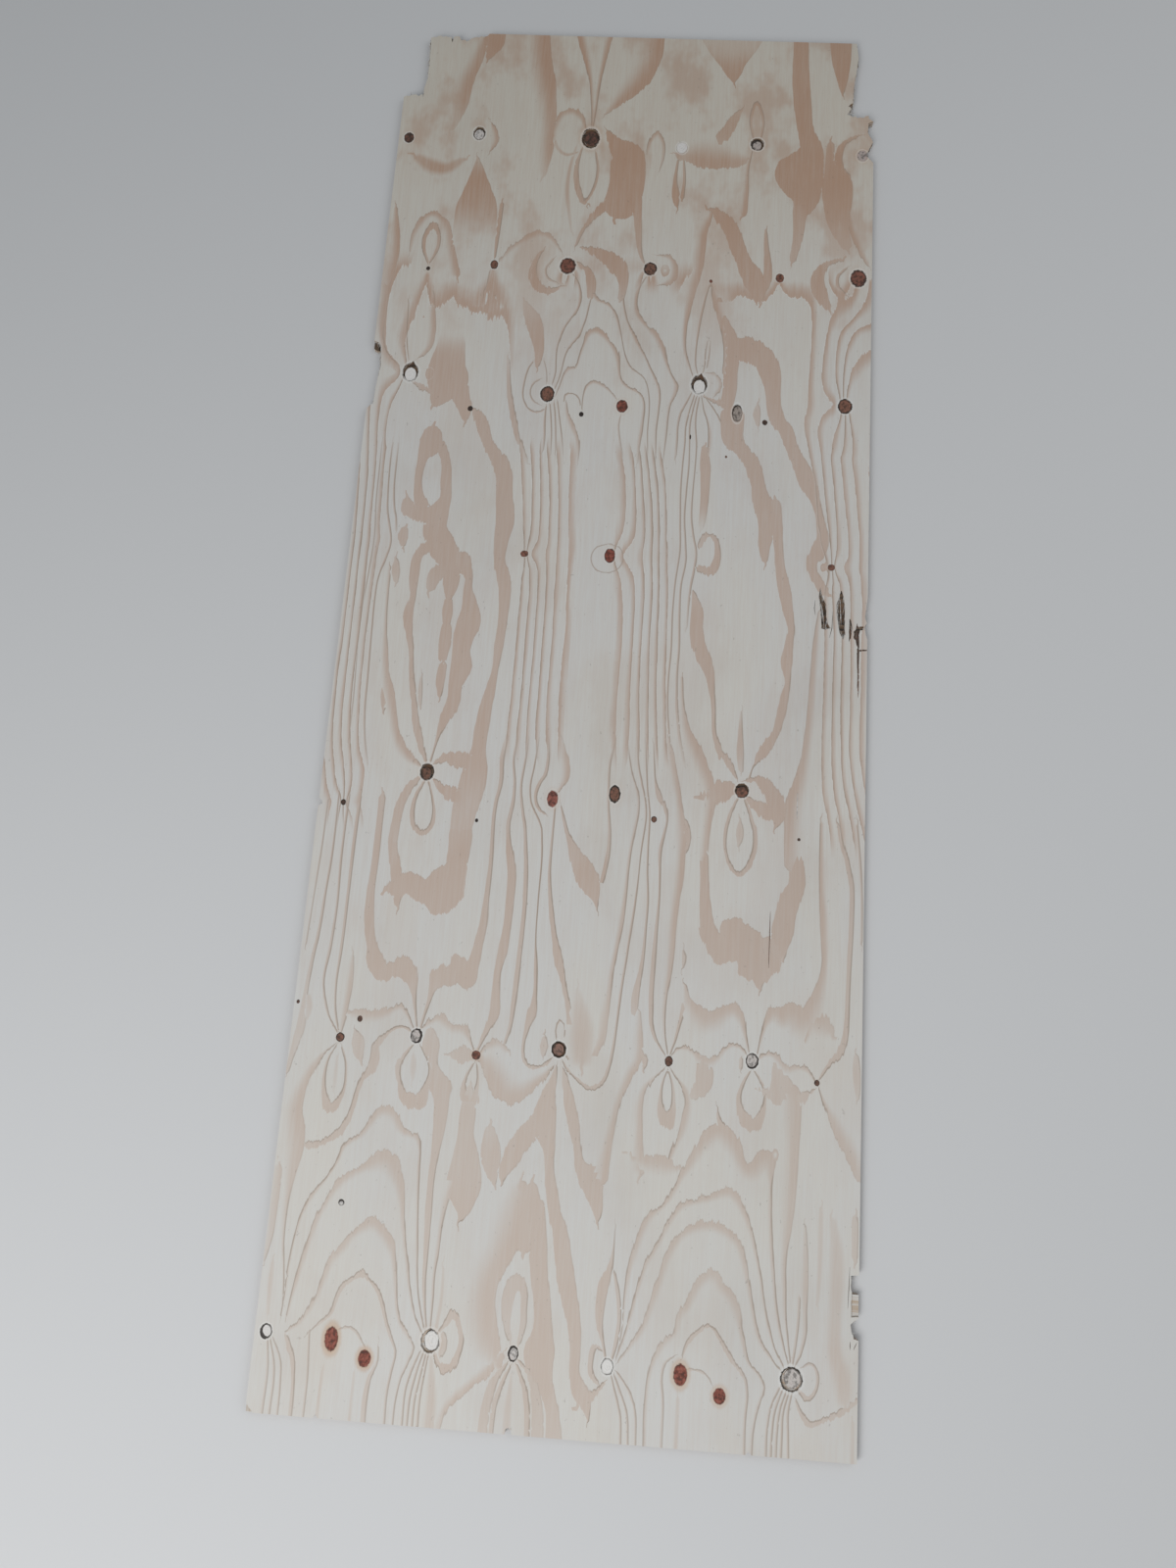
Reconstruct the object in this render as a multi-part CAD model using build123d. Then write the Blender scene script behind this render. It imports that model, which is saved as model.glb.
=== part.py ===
from build123d import *
import os
from dataclasses import dataclass
from random import Random

# A softwood plywood panel, ripped lengthwise from a full sheet, with torn corners and edges.
# X runs across the sheet, Y along the face grain, Z up. The origin is the middle of the underside.

# Driving dimensions, in millimetres
sheet_width = 890.0
sheet_length = 2440.0
ply_thickness = 2.4
ply_count = 5

# How the wood breaks
sliver_pitch = 5.0      # usual width of a sliver, where a veneer breaks across its grain
sliver_scatter = 0.3    # share of that width by which a sliver's place varies
shortest_sliver = 0.2   # share of a break's sliver reach that its shortest slivers have
split_stray = 0.6       # how far a split along the grain strays from its line
crack_width = 1.2       # how wide the open splits gape
crack_tip = 0.3         # how wide they are where they run out

# A hood over a loose knot, as shares of the hole it opens from
hood_foot = 0.85        # how wide the hood starts
hood_shoulder = 0.25    # how far above the hole's middle it starts
hood_lean = 0.12        # how far to the right its peak stands

# Worked out from the driving dimensions
half_width = sheet_width / 2
half_length = sheet_length / 2
face_ply = ply_count - 1
overrun = 15.0          # how far an outline that opens an edge runs past it
all_plies = range(ply_count)
upper_plies = range(ply_count - 2, ply_count)
face_only = range(face_ply, ply_count)


@dataclass
class Break:
    """A place where wood is gone: the line it parted on, and the points that close the outline."""

    name: str
    parting: list
    closing: list
    plies: range
    sliver_reach: float


@dataclass
class OpenKnot:
    """A gap in the face ply round a loose knot: the hole, a hood over it, and the plug left in it."""

    centre: tuple
    hole: tuple
    plug: tuple
    plug_shift: tuple
    hood: float = 0.0


# Places near an edge are given from that edge, so that they stay with it
def from_left(inset, height):
    return Vector(inset - half_width, height)


def from_right(inset, height):
    return Vector(half_width - inset, height)


def top_left(inset, drop):
    return Vector(inset - half_width, half_length - drop)


def top_right(inset, drop):
    return Vector(half_width - inset, half_length - drop)


def bottom_left(inset, rise):
    return Vector(inset - half_width, rise - half_length)


def bottom_right(inset, rise):
    return Vector(half_width - inset, rise - half_length)


def bottom_middle(side, rise):
    return Vector(side, rise - half_length)


def points(place, *pairs):
    return [place(first, second) for first, second in pairs]


def grain_of(ply):
    """The face veneer runs along the sheet, and each one below it runs across the last."""
    return Vector(0, 1) if (face_ply - ply) % 2 == 0 else Vector(1, 0)


def broken_line(corners, grain, reach, dice):
    """Roughens a line: slivers stand along the grain where it is crossed, and splits stay straight."""
    rough = [corners[0]]
    for start, end in zip(corners, corners[1:]):
        run = end - start
        heading = run.normalized()
        crossing = abs(heading.cross(grain).Z)
        sideways = Vector(-heading.Y, heading.X)
        slivers = max(1, round(run.length / sliver_pitch))
        for count in range(1, slivers):
            place = start + run * ((count + dice.uniform(-sliver_scatter, sliver_scatter)) / slivers)
            side = 1 if count % 2 else -1
            sliver = grain * (side * reach * crossing * dice.uniform(shortest_sliver, 1.0))
            stray = sideways * (split_stray * (1 - crossing) * dice.uniform(-1.0, 1.0))
            rough.append(place + sliver + stray)
        rough.append(end)
    return rough


def break_outline(damage, ply):
    """The outline of what one ply has lost at a break, each ply parting in its own way."""
    dice = Random(f"{damage.name} {ply}")
    parting = broken_line(damage.parting, grain_of(ply), damage.sliver_reach, dice)
    return Polygon(*parting, *damage.closing, align=None)


def crack_outline(route):
    """A split that gapes in the middle of its route and closes to a tip at each end."""
    first, *between, last = route
    run = (last - first).normalized()
    sideways = Vector(-run.Y, run.X)
    near = [place + sideways * (crack_width / 2) for place in between]
    far = [place - sideways * (crack_width / 2) for place in reversed(between)]
    start_tip = [first - sideways * (crack_tip / 2), first + sideways * (crack_tip / 2)]
    end_tip = [last + sideways * (crack_tip / 2), last - sideways * (crack_tip / 2)]
    return Polygon(*start_tip, *near, *end_tip, *far, align=None)


def knot_gap(knot):
    """The open part of a loose knot's hole: a crescent, and under a hood, a gap that comes to a peak."""
    width, height = knot.hole
    hole = Ellipse(width / 2, height / 2)
    if knot.hood:
        shoulder = height * hood_shoulder
        hole += Polygon(
            (-width / 2 * hood_foot, shoulder),
            (width / 2 * hood_foot, shoulder),
            (width * hood_lean, height / 2 + knot.hood),
            align=None,
        )
    plug = Pos(*knot.plug_shift) * Ellipse(knot.plug[0] / 2, knot.plug[1] / 2)
    return Pos(*knot.centre) * (hole - plug)


# Wood gone at the corners and edges. Each point is measured in from its own edge.
breaks = [
    Break(
        "top left corner and the worn end beside it",
        points(top_left, (0, 150), (14, 146), (20, 144), (28, 148), (35, 143), (37, 150), (37, 132),
               (42, 103), (41, 55), (39, 13), (54, 8), (72, 10), (79, 10), (81, 23), (83, 10),
               (94, 8), (99, 17), (113, 17), (123, 10), (148, 6), (152, 0)),
        points(top_left, (152, -overrun), (-overrun, -overrun), (-overrun, 150)),
        all_plies,
        2.0,
    ),
    Break(
        "top right corner and the chewed edge below it",
        points(top_right, (34, 0), (30, 35), (38, 98), (39, 134), (48, 142), (42, 147), (50, 160),
               (30, 167), (20, 167), (10, 161), (9, 168), (1, 174), (10, 178), (11, 199), (5, 210),
               (1, 219), (12, 243), (10, 253), (0, 264)),
        points(top_right, (-overrun, 264), (-overrun, -overrun), (34, -overrun)),
        all_plies,
        2.0,
    ),
    Break(
        "upper plies of the left bite",
        points(from_left, (0, 546), (3, 545), (12, 539), (14, 527), (15, 515)),
        points(from_left, (-overrun, 515), (-overrun, 546)),
        upper_plies,
        2.0,
    ),
    Break(
        "left bite",
        points(from_left, (0, 533), (6, 529), (14, 527), (17, 500), (13, 458), (11, 421), (0, 411)),
        points(from_left, (-overrun, 411), (-overrun, 533)),
        all_plies,
        2.0,
    ),
    Break(
        "left nick",
        points(from_left, (0, -298), (5, -302), (6, -308), (0, -313)),
        points(from_left, (-overrun, -313), (-overrun, -298)),
        all_plies,
        1.0,
    ),
    Break(
        "right edge worn above the cracked strip",
        points(from_right, (0, 100), (2, 80), (4, 62), (1, 53), (5, 44), (2, 31), (0, 24)),
        points(from_right, (-overrun, 24), (-overrun, 100)),
        all_plies,
        1.0,
    ),
    Break(
        "upper square notch on the right",
        points(bottom_right, (0, 252), (12, 251), (12, 233), (10, 225), (0, 225)),
        points(bottom_right, (-overrun, 225), (-overrun, 252)),
        all_plies,
        0.8,
    ),
    Break(
        "face veneer off the tab",
        points(bottom_right, (0, 226), (11, 226), (11, 194), (0, 195)),
        points(bottom_right, (-overrun, 195), (-overrun, 226)),
        face_only,
        0.8,
    ),
    Break(
        "lower ragged notch on the right",
        points(bottom_right, (0, 194), (3, 191), (12, 184), (10, 172), (8, 170), (7, 165), (0, 163)),
        points(bottom_right, (-overrun, 163), (-overrun, 194)),
        all_plies,
        1.5,
    ),
    Break(
        "notch in the foot",
        points(bottom_middle, (-62, 0), (-61, 7), (-57, 9), (-53, 6), (-52, 0)),
        points(bottom_middle, (-52, -overrun), (-62, -overrun)),
        all_plies,
        0.8,
    ),
    Break(
        "left nick in the foot",
        points(bottom_middle, (-344, 0), (-341, 5), (-337, 0)),
        points(bottom_middle, (-337, -overrun), (-344, -overrun)),
        all_plies,
        0.5,
    ),
    Break(
        "right nick in the foot",
        points(bottom_middle, (286, 0), (290, 5), (295, 0)),
        points(bottom_middle, (295, -overrun), (286, -overrun)),
        all_plies,
        0.5,
    ),
    Break(
        "chipped foot corner",
        points(bottom_left, (0, 13), (4, 8), (8, 4), (12, 0)),
        points(bottom_left, (12, -overrun), (-overrun, -overrun), (-overrun, 13)),
        upper_plies,
        1.0,
    ),
]

# Face veneer torn out in strips beside the right edge, from left to right
breaks += [
    Break(
        "first strip",
        points(from_right, (82, 97), (79, 73), (77, 48), (77, 40), (70, 38), (61, 41), (66, 49),
               (69, 62), (69, 82), (75, 94), (80, 113)),
        [],
        face_only,
        0.8,
    ),
    Break(
        "second strip",
        points(from_right, (44, 110), (47, 102), (52, 83), (51, 63), (48, 43), (46, 33), (40, 22),
               (37, 31), (38, 50), (38, 78), (41, 100)),
        [],
        face_only,
        0.8,
    ),
    Break(
        "third strip",
        points(from_right, (30, 60), (31, 37), (31, 18), (27, 26), (25, 43), (27, 57)),
        [],
        face_only,
        0.6,
    ),
    Break(
        "pit between the strips and the edge",
        points(from_right, (23, 37), (23, 25), (19, 22), (18, 38), (14, 31), (12, 40), (7, 41),
               (6, 47), (15, 46)),
        [],
        face_only,
        0.6,
    ),
    Break(
        "hole through the cross ply at the foot of the second strip",
        points(from_right, (43, 31), (40, 22), (37, 31), (38, 38)),
        [],
        upper_plies,
        0.4,
    ),
    Break(
        "hole through the cross ply in the first strip",
        points(from_right, (75, 88), (71, 70), (69, 60), (70, 82)),
        [],
        upper_plies,
        0.4,
    ),
]

# Splits in the face ply, as routes from tip to tip
cracks = [
    points(from_right, (88, 90), (89, 75), (87, 62)),
    points(from_right, (58, 72), (59, 41), (63, 24)),
    points(from_right, (15, 30), (15, 3), (15, -48), (16, -62)),
    points(from_right, (16, 2), (12, 3), (-1, 7)),
    points(bottom_right, (14, 263), (15, 233), (16, 206)),
    points(bottom_right, (12, 161), (12, 156), (12, 150)),
    points(bottom_right, (7, 150), (5, 155), (2, 161)),
]

# Knots whose holes stand partly open in the face ply
open_knots = [
    OpenKnot((-293, 993), (22, 28), (19, 22), (0.5, -2.5)),
    OpenKnot((-82, 990), (32, 40), (26, 32), (1.5, -2)),
    OpenKnot((230, 988), (24, 26), (20, 22), (-2.5, -2.5)),
    OpenKnot((-373, 486), (26, 32), (20, 26), (0.5, -4), 7.0),
    OpenKnot((144, 485), (26, 32), (20, 26), (0.5, -4), 7.0),
    OpenKnot((-271, -245), (22, 26), (16, 20), (-1, -3)),
    OpenKnot((246, -246), (22, 24), (18, 20), (0, -3)),
    OpenKnot((-22, -674), (21, 22), (17, 18), (-1, 0)),
    OpenKnot((-182, -1104), (27, 32), (23, 29), (2.5, 1)),
    OpenKnot((349, -1116), (29, 31), (24, 27), (1, 1.5)),
]


def ply_outline(ply):
    """One veneer, less what is broken off it and, in the face ply, its splits and open knots."""
    outline = Rectangle(sheet_width, sheet_length)
    for damage in breaks:
        if ply in damage.plies:
            outline -= break_outline(damage, ply)
    if ply == face_ply:
        for route in cracks:
            outline -= crack_outline(route)
        for knot in open_knots:
            outline -= knot_gap(knot)
    return outline


def make_sheet():
    """The glued-up panel: every veneer laid on the one below, as one piece of stock."""
    sheet = Part()
    for ply in all_plies:
        veneer = extrude(ply_outline(ply), ply_thickness, dir=(0, 0, 1))
        sheet += Pos(0, 0, ply * ply_thickness) * veneer
    return sheet


plywood_sheet = make_sheet()
plywood_sheet.label = "plywood_sheet"

os.makedirs("parts", exist_ok=True)
export_step(plywood_sheet, "parts/plywood_sheet.step")
box = plywood_sheet.bounding_box()
print("solids", len(plywood_sheet.solids()), "volume", round(plywood_sheet.volume), "size", box.size)
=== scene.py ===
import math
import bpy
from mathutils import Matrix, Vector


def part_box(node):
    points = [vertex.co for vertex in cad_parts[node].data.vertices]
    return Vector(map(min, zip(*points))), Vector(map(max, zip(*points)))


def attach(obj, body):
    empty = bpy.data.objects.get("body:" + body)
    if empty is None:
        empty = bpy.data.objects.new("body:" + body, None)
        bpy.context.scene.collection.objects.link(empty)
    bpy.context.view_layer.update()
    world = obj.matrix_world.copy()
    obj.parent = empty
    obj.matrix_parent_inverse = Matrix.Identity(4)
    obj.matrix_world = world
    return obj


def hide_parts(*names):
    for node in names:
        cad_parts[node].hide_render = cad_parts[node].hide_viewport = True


bl_info = {
    "name": "Weathered Plywood Sheet",
    "version": (1, 0, 0),
    "blender": (4, 5, 0),
    "location": "View3D > Sidebar > Plywood",
    "description": "Dresses a torn plywood sheet: peeled ring figure, knots, torn plies, stage and camera",
    "category": "Object",
}

from collections import namedtuple

import bmesh
import bpy
import numpy as np
from mathutils import Euler, Vector
from mathutils.geometry import delaunay_2d_cdt
from mathutils.kdtree import KDTree

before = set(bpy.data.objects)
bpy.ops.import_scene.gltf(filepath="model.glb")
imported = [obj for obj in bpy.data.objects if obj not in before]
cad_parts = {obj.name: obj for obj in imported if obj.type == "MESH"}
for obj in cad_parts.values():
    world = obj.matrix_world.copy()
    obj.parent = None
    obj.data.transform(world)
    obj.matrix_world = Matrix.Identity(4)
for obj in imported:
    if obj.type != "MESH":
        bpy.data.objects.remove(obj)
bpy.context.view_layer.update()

# Everything below is in metres in the scene. Places on the sheet are in millimetres from its middle.
MM = 0.001
SHEET_NODE = "plywood_sheet"
SHEET_BODY = "root"
sheet_low, sheet_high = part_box(SHEET_NODE)
HALF_WIDTH = (sheet_high.x - sheet_low.x) / 2 / MM
HALF_LENGTH = (sheet_high.y - sheet_low.y) / 2 / MM
THICKNESS = (sheet_high.z - sheet_low.z) / MM
PLY_COUNT = 5
PLY = THICKNESS / PLY_COUNT
FLAT = 0.9              # a face whose normal has more than this upwards is lying flat
TOUCH = 0.01            # millimetres within which two heights are the same

# A knot: its place and size, how dark it is from pale plug 0 to black 1, how red, how black its rim is,
# how far a stain spreads round it and which way its plug leans off, in half sizes. Then what it does to
# the rings: how far the swelling below it rises and reaches, the side its eye lies on, and how widely it
# pinches them
Knot = namedtuple("Knot", "x y wide tall dark red rim halo lean_x lean_y rise reach eye pinch",
                  defaults=(0.5, 0.3, 0.6, 0.0, 0, 0, 0.0, 0, 0, 0))

KNOTS = [
    # the row near the head
    Knot(-426, 979, 18, 22, 0.75, 0.4, 0.8),
    Knot(-293, 993, 22, 28, 0.12, 0.1, 0.7, 0.0, 0, -0.25, 0.6, 110, 1),
    Knot(-82, 990, 32, 42, 0.80, 0.4, 1.0, 0.2, 0.1, -0.1, 1.2, 150, -1),
    Knot(90, 975, 20, 24, 0.05, 0.2, 0.2, 0.0, 0, 0, 0.5, 110, -1),
    Knot(230, 988, 24, 26, 0.20, 0.2, 0.9, 0.0, 0.1, -0.3, 0.8, 120, 1),
    Knot(425, 970, 20, 24, 0.20, 0.5, 0.1, 0.2, 0, 0, 0.0, 0, -1),
    # the second row
    Knot(-362, 699, 7, 8, 0.95, 0.2, 1.0, 0.0, 0, 0, 0.5, 100),
    Knot(-241, 712, 14, 18, 0.60, 0.4, 0.8, 0.0, 0, 0, 0.5, 90),
    Knot(-106, 715, 28, 32, 0.60, 0.6, 0.8, 0.1, 0, 0, 1.0, 130, -1),
    Knot(45, 715, 23, 26, 0.60, 0.3, 1.0, 0.1, 0, 0, 0.9, 110, 1),
    Knot(156, 694, 6, 7, 0.60, 0.6, 0.3, 0.0, 0, 0, 0.5, 110),
    Knot(280, 706, 15, 18, 0.45, 0.5, 0.5, 0.1, 0, 0, 0.4, 80),
    Knot(421, 711, 28, 34, 0.60, 0.6, 0.9, 0.1, 0, 0, 0.6, 110, -1),
    # the third row
    Knot(-373, 486, 28, 36, 0.00, 0.1, 0.5, 0.0, 0, -0.32, 1.0, 150, 1),
    Knot(144, 485, 28, 36, 0.00, 0.1, 0.5, 0.0, 0, -0.32, 1.2, 190, 1),
    Knot(-124, 454, 24, 30, 0.50, 0.4, 1.0, 0.0, 0, 0, 0.8, 100, -1),
    Knot(401, 454, 24, 28, 0.50, 0.4, 1.0, 0.0, 0, 0, 0.8, 100),
    Knot(10, 436, 20, 24, 0.55, 0.9, 0.6, 0.2, 0, 0, 0.3, 60),
    Knot(-61, 417, 8, 9, 1.00, 0.1, 1.0, 0.0, 0, 0, 0.2, 40),
    Knot(-259, 419, 9, 10, 0.90, 0.2, 1.0),
    Knot(213, 432, 18, 34, 0.25, 0.0, 0.4, 0.0, 0.1, -0.1, 0.5, 60),
    Knot(262, 416, 9, 10, 0.85, 0.3, 0.8),
    # the small ones above the middle
    Knot(-141, 148, 14, 12, 0.50, 0.6, 0.5, 0.1, 0, 0, 0.3, 40, -1),
    Knot(6, 152, 18, 26, 0.45, 1.0, 0.7, 0.1, 0, 0, -0.2, 60),
    Knot(383, 150, 12, 12, 0.45, 0.5, 0.6, 0.0, 0, 0, 0.3, 40, -1),
    # the row below the middle
    Knot(-271, -245, 23, 28, 0.65, 0.3, 0.8, 0.1, 0.1, -0.2, 1.2, 120, 0, 60),
    Knot(246, -246, 22, 24, 0.40, 0.4, 0.8, 0.1, 0, -0.3, 1.5, 145, 1, 60),
    Knot(-61, -278, 18, 28, 0.35, 1.0, 0.3, 0.2),
    Knot(40, -264, 18, 28, 0.45, 0.4, 1.3, 0.1, 0, -0.1),
    Knot(-404, -304, 8, 10, 0.85, 0.2, 0.9),
    Knot(106, -302, 9, 10, 0.60, 0.3, 0.9),
    Knot(-182, -321, 5, 6, 1.00, 0.2, 1.0),
    Knot(340, -321, 5, 5, 0.85, 0.2, 0.9),
    # the row above the arches
    Knot(-366, -678, 13, 14, 0.55, 0.4, 1.2, 0.1),
    Knot(-338, -648, 8, 10, 0.60, 0.4, 0.4, 0.1, 0.2),
    Knot(-439, -628, 5, 6, 0.80, 0.3, 0.8),
    Knot(-246, -668, 18, 22, 0.15, 0.2, 1.2, 0.0, -0.25),
    Knot(-150, -691, 14, 14, 0.60, 0.6, 0.5, 0.3),
    Knot(-22, -674, 22, 24, 0.33, 0.4, 1.3),
    Knot(149, -680, 12, 15, 0.70, 0.3, 0.9),
    Knot(277, -671, 19, 23, 0.15, 0.1, 1.0, 0.0, -0.1, 0.1),
    Knot(377, -697, 8, 9, 0.70, 0.3, 0.9, 0.1),
    # the row near the foot
    Knot(-428, -1109, 18, 21, 0.05, 0.1, 0.9, 0.0, 0.25, 0.15),
    Knot(-329, -1112, 20, 34, 0.38, 1.0, 0.4, 0.7),
    Knot(-277, -1135, 19, 24, 0.45, 1.0, 0.3, 0.7),
    Knot(-182, -1104, 27, 32, 0.02, 0.1, 0.7, 0.1, 0.22, 0.05),
    Knot(-58, -1112, 15, 21, 0.12, 0.2, 1.3, 0.1, 0.15, -0.1),
    Knot(81, -1119, 18, 22, 0.00, 0.0, 0.7),
    Knot(188, -1122, 20, 30, 0.38, 1.0, 0.4, 0.6),
    Knot(246, -1146, 18, 22, 0.38, 1.0, 0.3, 0.5),
    Knot(349, -1116, 31, 33, 0.15, 0.1, 1.0, 0.0, 0.05, 0.1),
]

# Places where the rings curl round a knot that stayed inside the log
CURLS = [
    Knot(-366, 163, 8, 8, eye=1),
    Knot(152, 163, 8, 8, eye=1),
]

# Small marks, made like knots: resin streaks, hairline splits, a scratch, a speck and a pale plug. The dark
# marks along the right edge's crack are the split with painted shadow beside it, and the pale thin line is
# a split's painted highlight.
MARKS = [
    Knot(133, 382, 3, 10, 0.90, 0.2, 0.0),
    # Dark marks along the right edge's crack: the split, widened with painted shadow.
    Knot(430, 0, 4, 76, 0.75, 0.2, 0.0),
    Knot(428, 32, 5, 40, 0.80, 0.2, 0.0),
    Knot(431, -48, 2.5, 60, 0.55, 0.2, 0.0),
    Knot(438, 5, 15, 3, 0.75, 0.2, 0.0),
    Knot(298, -484, 1.4, 90, 0.70, 0.2, 0.0),
    # A split's bright edge, drawn as a pale line: a painted highlight.
    Knot(336, -266, 1.6, 44, 0.10, 0.1, 0.4),
    Knot(-336, -921, 9, 9, 0.10, 0.1, 0.9, 0.0, 0, -0.4),
    Knot(197, 347, 4, 5, 0.60, 0.2, 0.4),
]

# The peel cuts the log's rings once a turn. Along the two hills and the valley between them, each pair
# is a place along the sheet and how many rings deep the knife stands there. Toward the head and the
# foot the flames stand in for the rings, so no places are given there.
TURN_WIDTH = 512
RINGS_GAINED = 0.35
LEFT_HILL = [
    (880, 4.55), (790, 5.0), (700, 5.4), (630, 6.0), (540, 6.5), (430, 7.0), (300, 7.8), (150, 8.15),
    (-100, 8.25), (-195, 8.0), (-300, 7.6), (-425, 7.0), (-550, 6.0),
]
RIGHT_HILL = [
    (880, 5.1), (770, 5.3), (700, 5.6), (662, 6.0), (600, 6.5), (530, 7.0), (400, 8.0), (250, 8.3),
    (-100, 8.3), (-200, 8.0), (-330, 7.5), (-470, 7.0), (-590, 6.0),
]
VALLEY = [
    (960, 4.9), (830, 4.7), (750, 4.0), (645, 3.0), (590, 2.0), (485, 1.0), (400, 0.6), (0, 0.4),
    (-250, 0.5), (-398, 1.0), (-570, 1.5),
]
# Where each of the three lies across the sheet
LEFT_HILL_LINE = [(1220, -290), (630, -290), (430, -295), (100, -272), (-200, -270), (-600, -265),
                  (-780, -288)]
RIGHT_HILL_LINE = [(1220, 240), (530, 240), (400, 185), (300, 203), (100, 236), (-200, 248),
                   (-400, 258), (-600, 255)]
VALLEY_LINE = [(1220, -20), (900, -10), (740, -25), (645, -45), (485, -48), (350, -22), (100, -12),
               (-200, -6), (-398, 22), (-560, 8)]

# The latewood is at most this wide, in millimetres, and this much wider where the rings cross the sheet
LATEWOOD_WIDTH = 22
LATEWOOD_DRAWN_OUT = 26

# No knot draws a ring to it from much farther than this
PULL_REACH = 95

# Small waves: how many rings they add, a wave's width and length in millimetres, and its seed
WAVES = [(0.12, 35, 160, 11), (0.07, 12, 90, 5)]

# A gentle swelling of the log: place, half width, half length and how many rings it adds
SWELLING = (-222, -50, 35, 160, -0.35)


# Where the peel grazes the log, the figure breaks into flames. A flame is a streak of latewood, broad
# or as thin as a line, with its crisp side and a route of places, half widths and strengths. Its right
# side is the viewer's right where its route runs down the sheet, and lies above where it runs right.
Flame = namedtuple("Flame", "crisp route")
BOTH, RIGHT, LEFT, SOFT = range(4)


def streak(crisp, *stations):
    """A flame through its stations. The width or strength that one leaves out stays as it was."""
    route = []
    for station in stations:
        before = route[-1] if route else ()
        route.append((*station, *before[len(station):]))
    return Flame(crisp, route)


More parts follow.
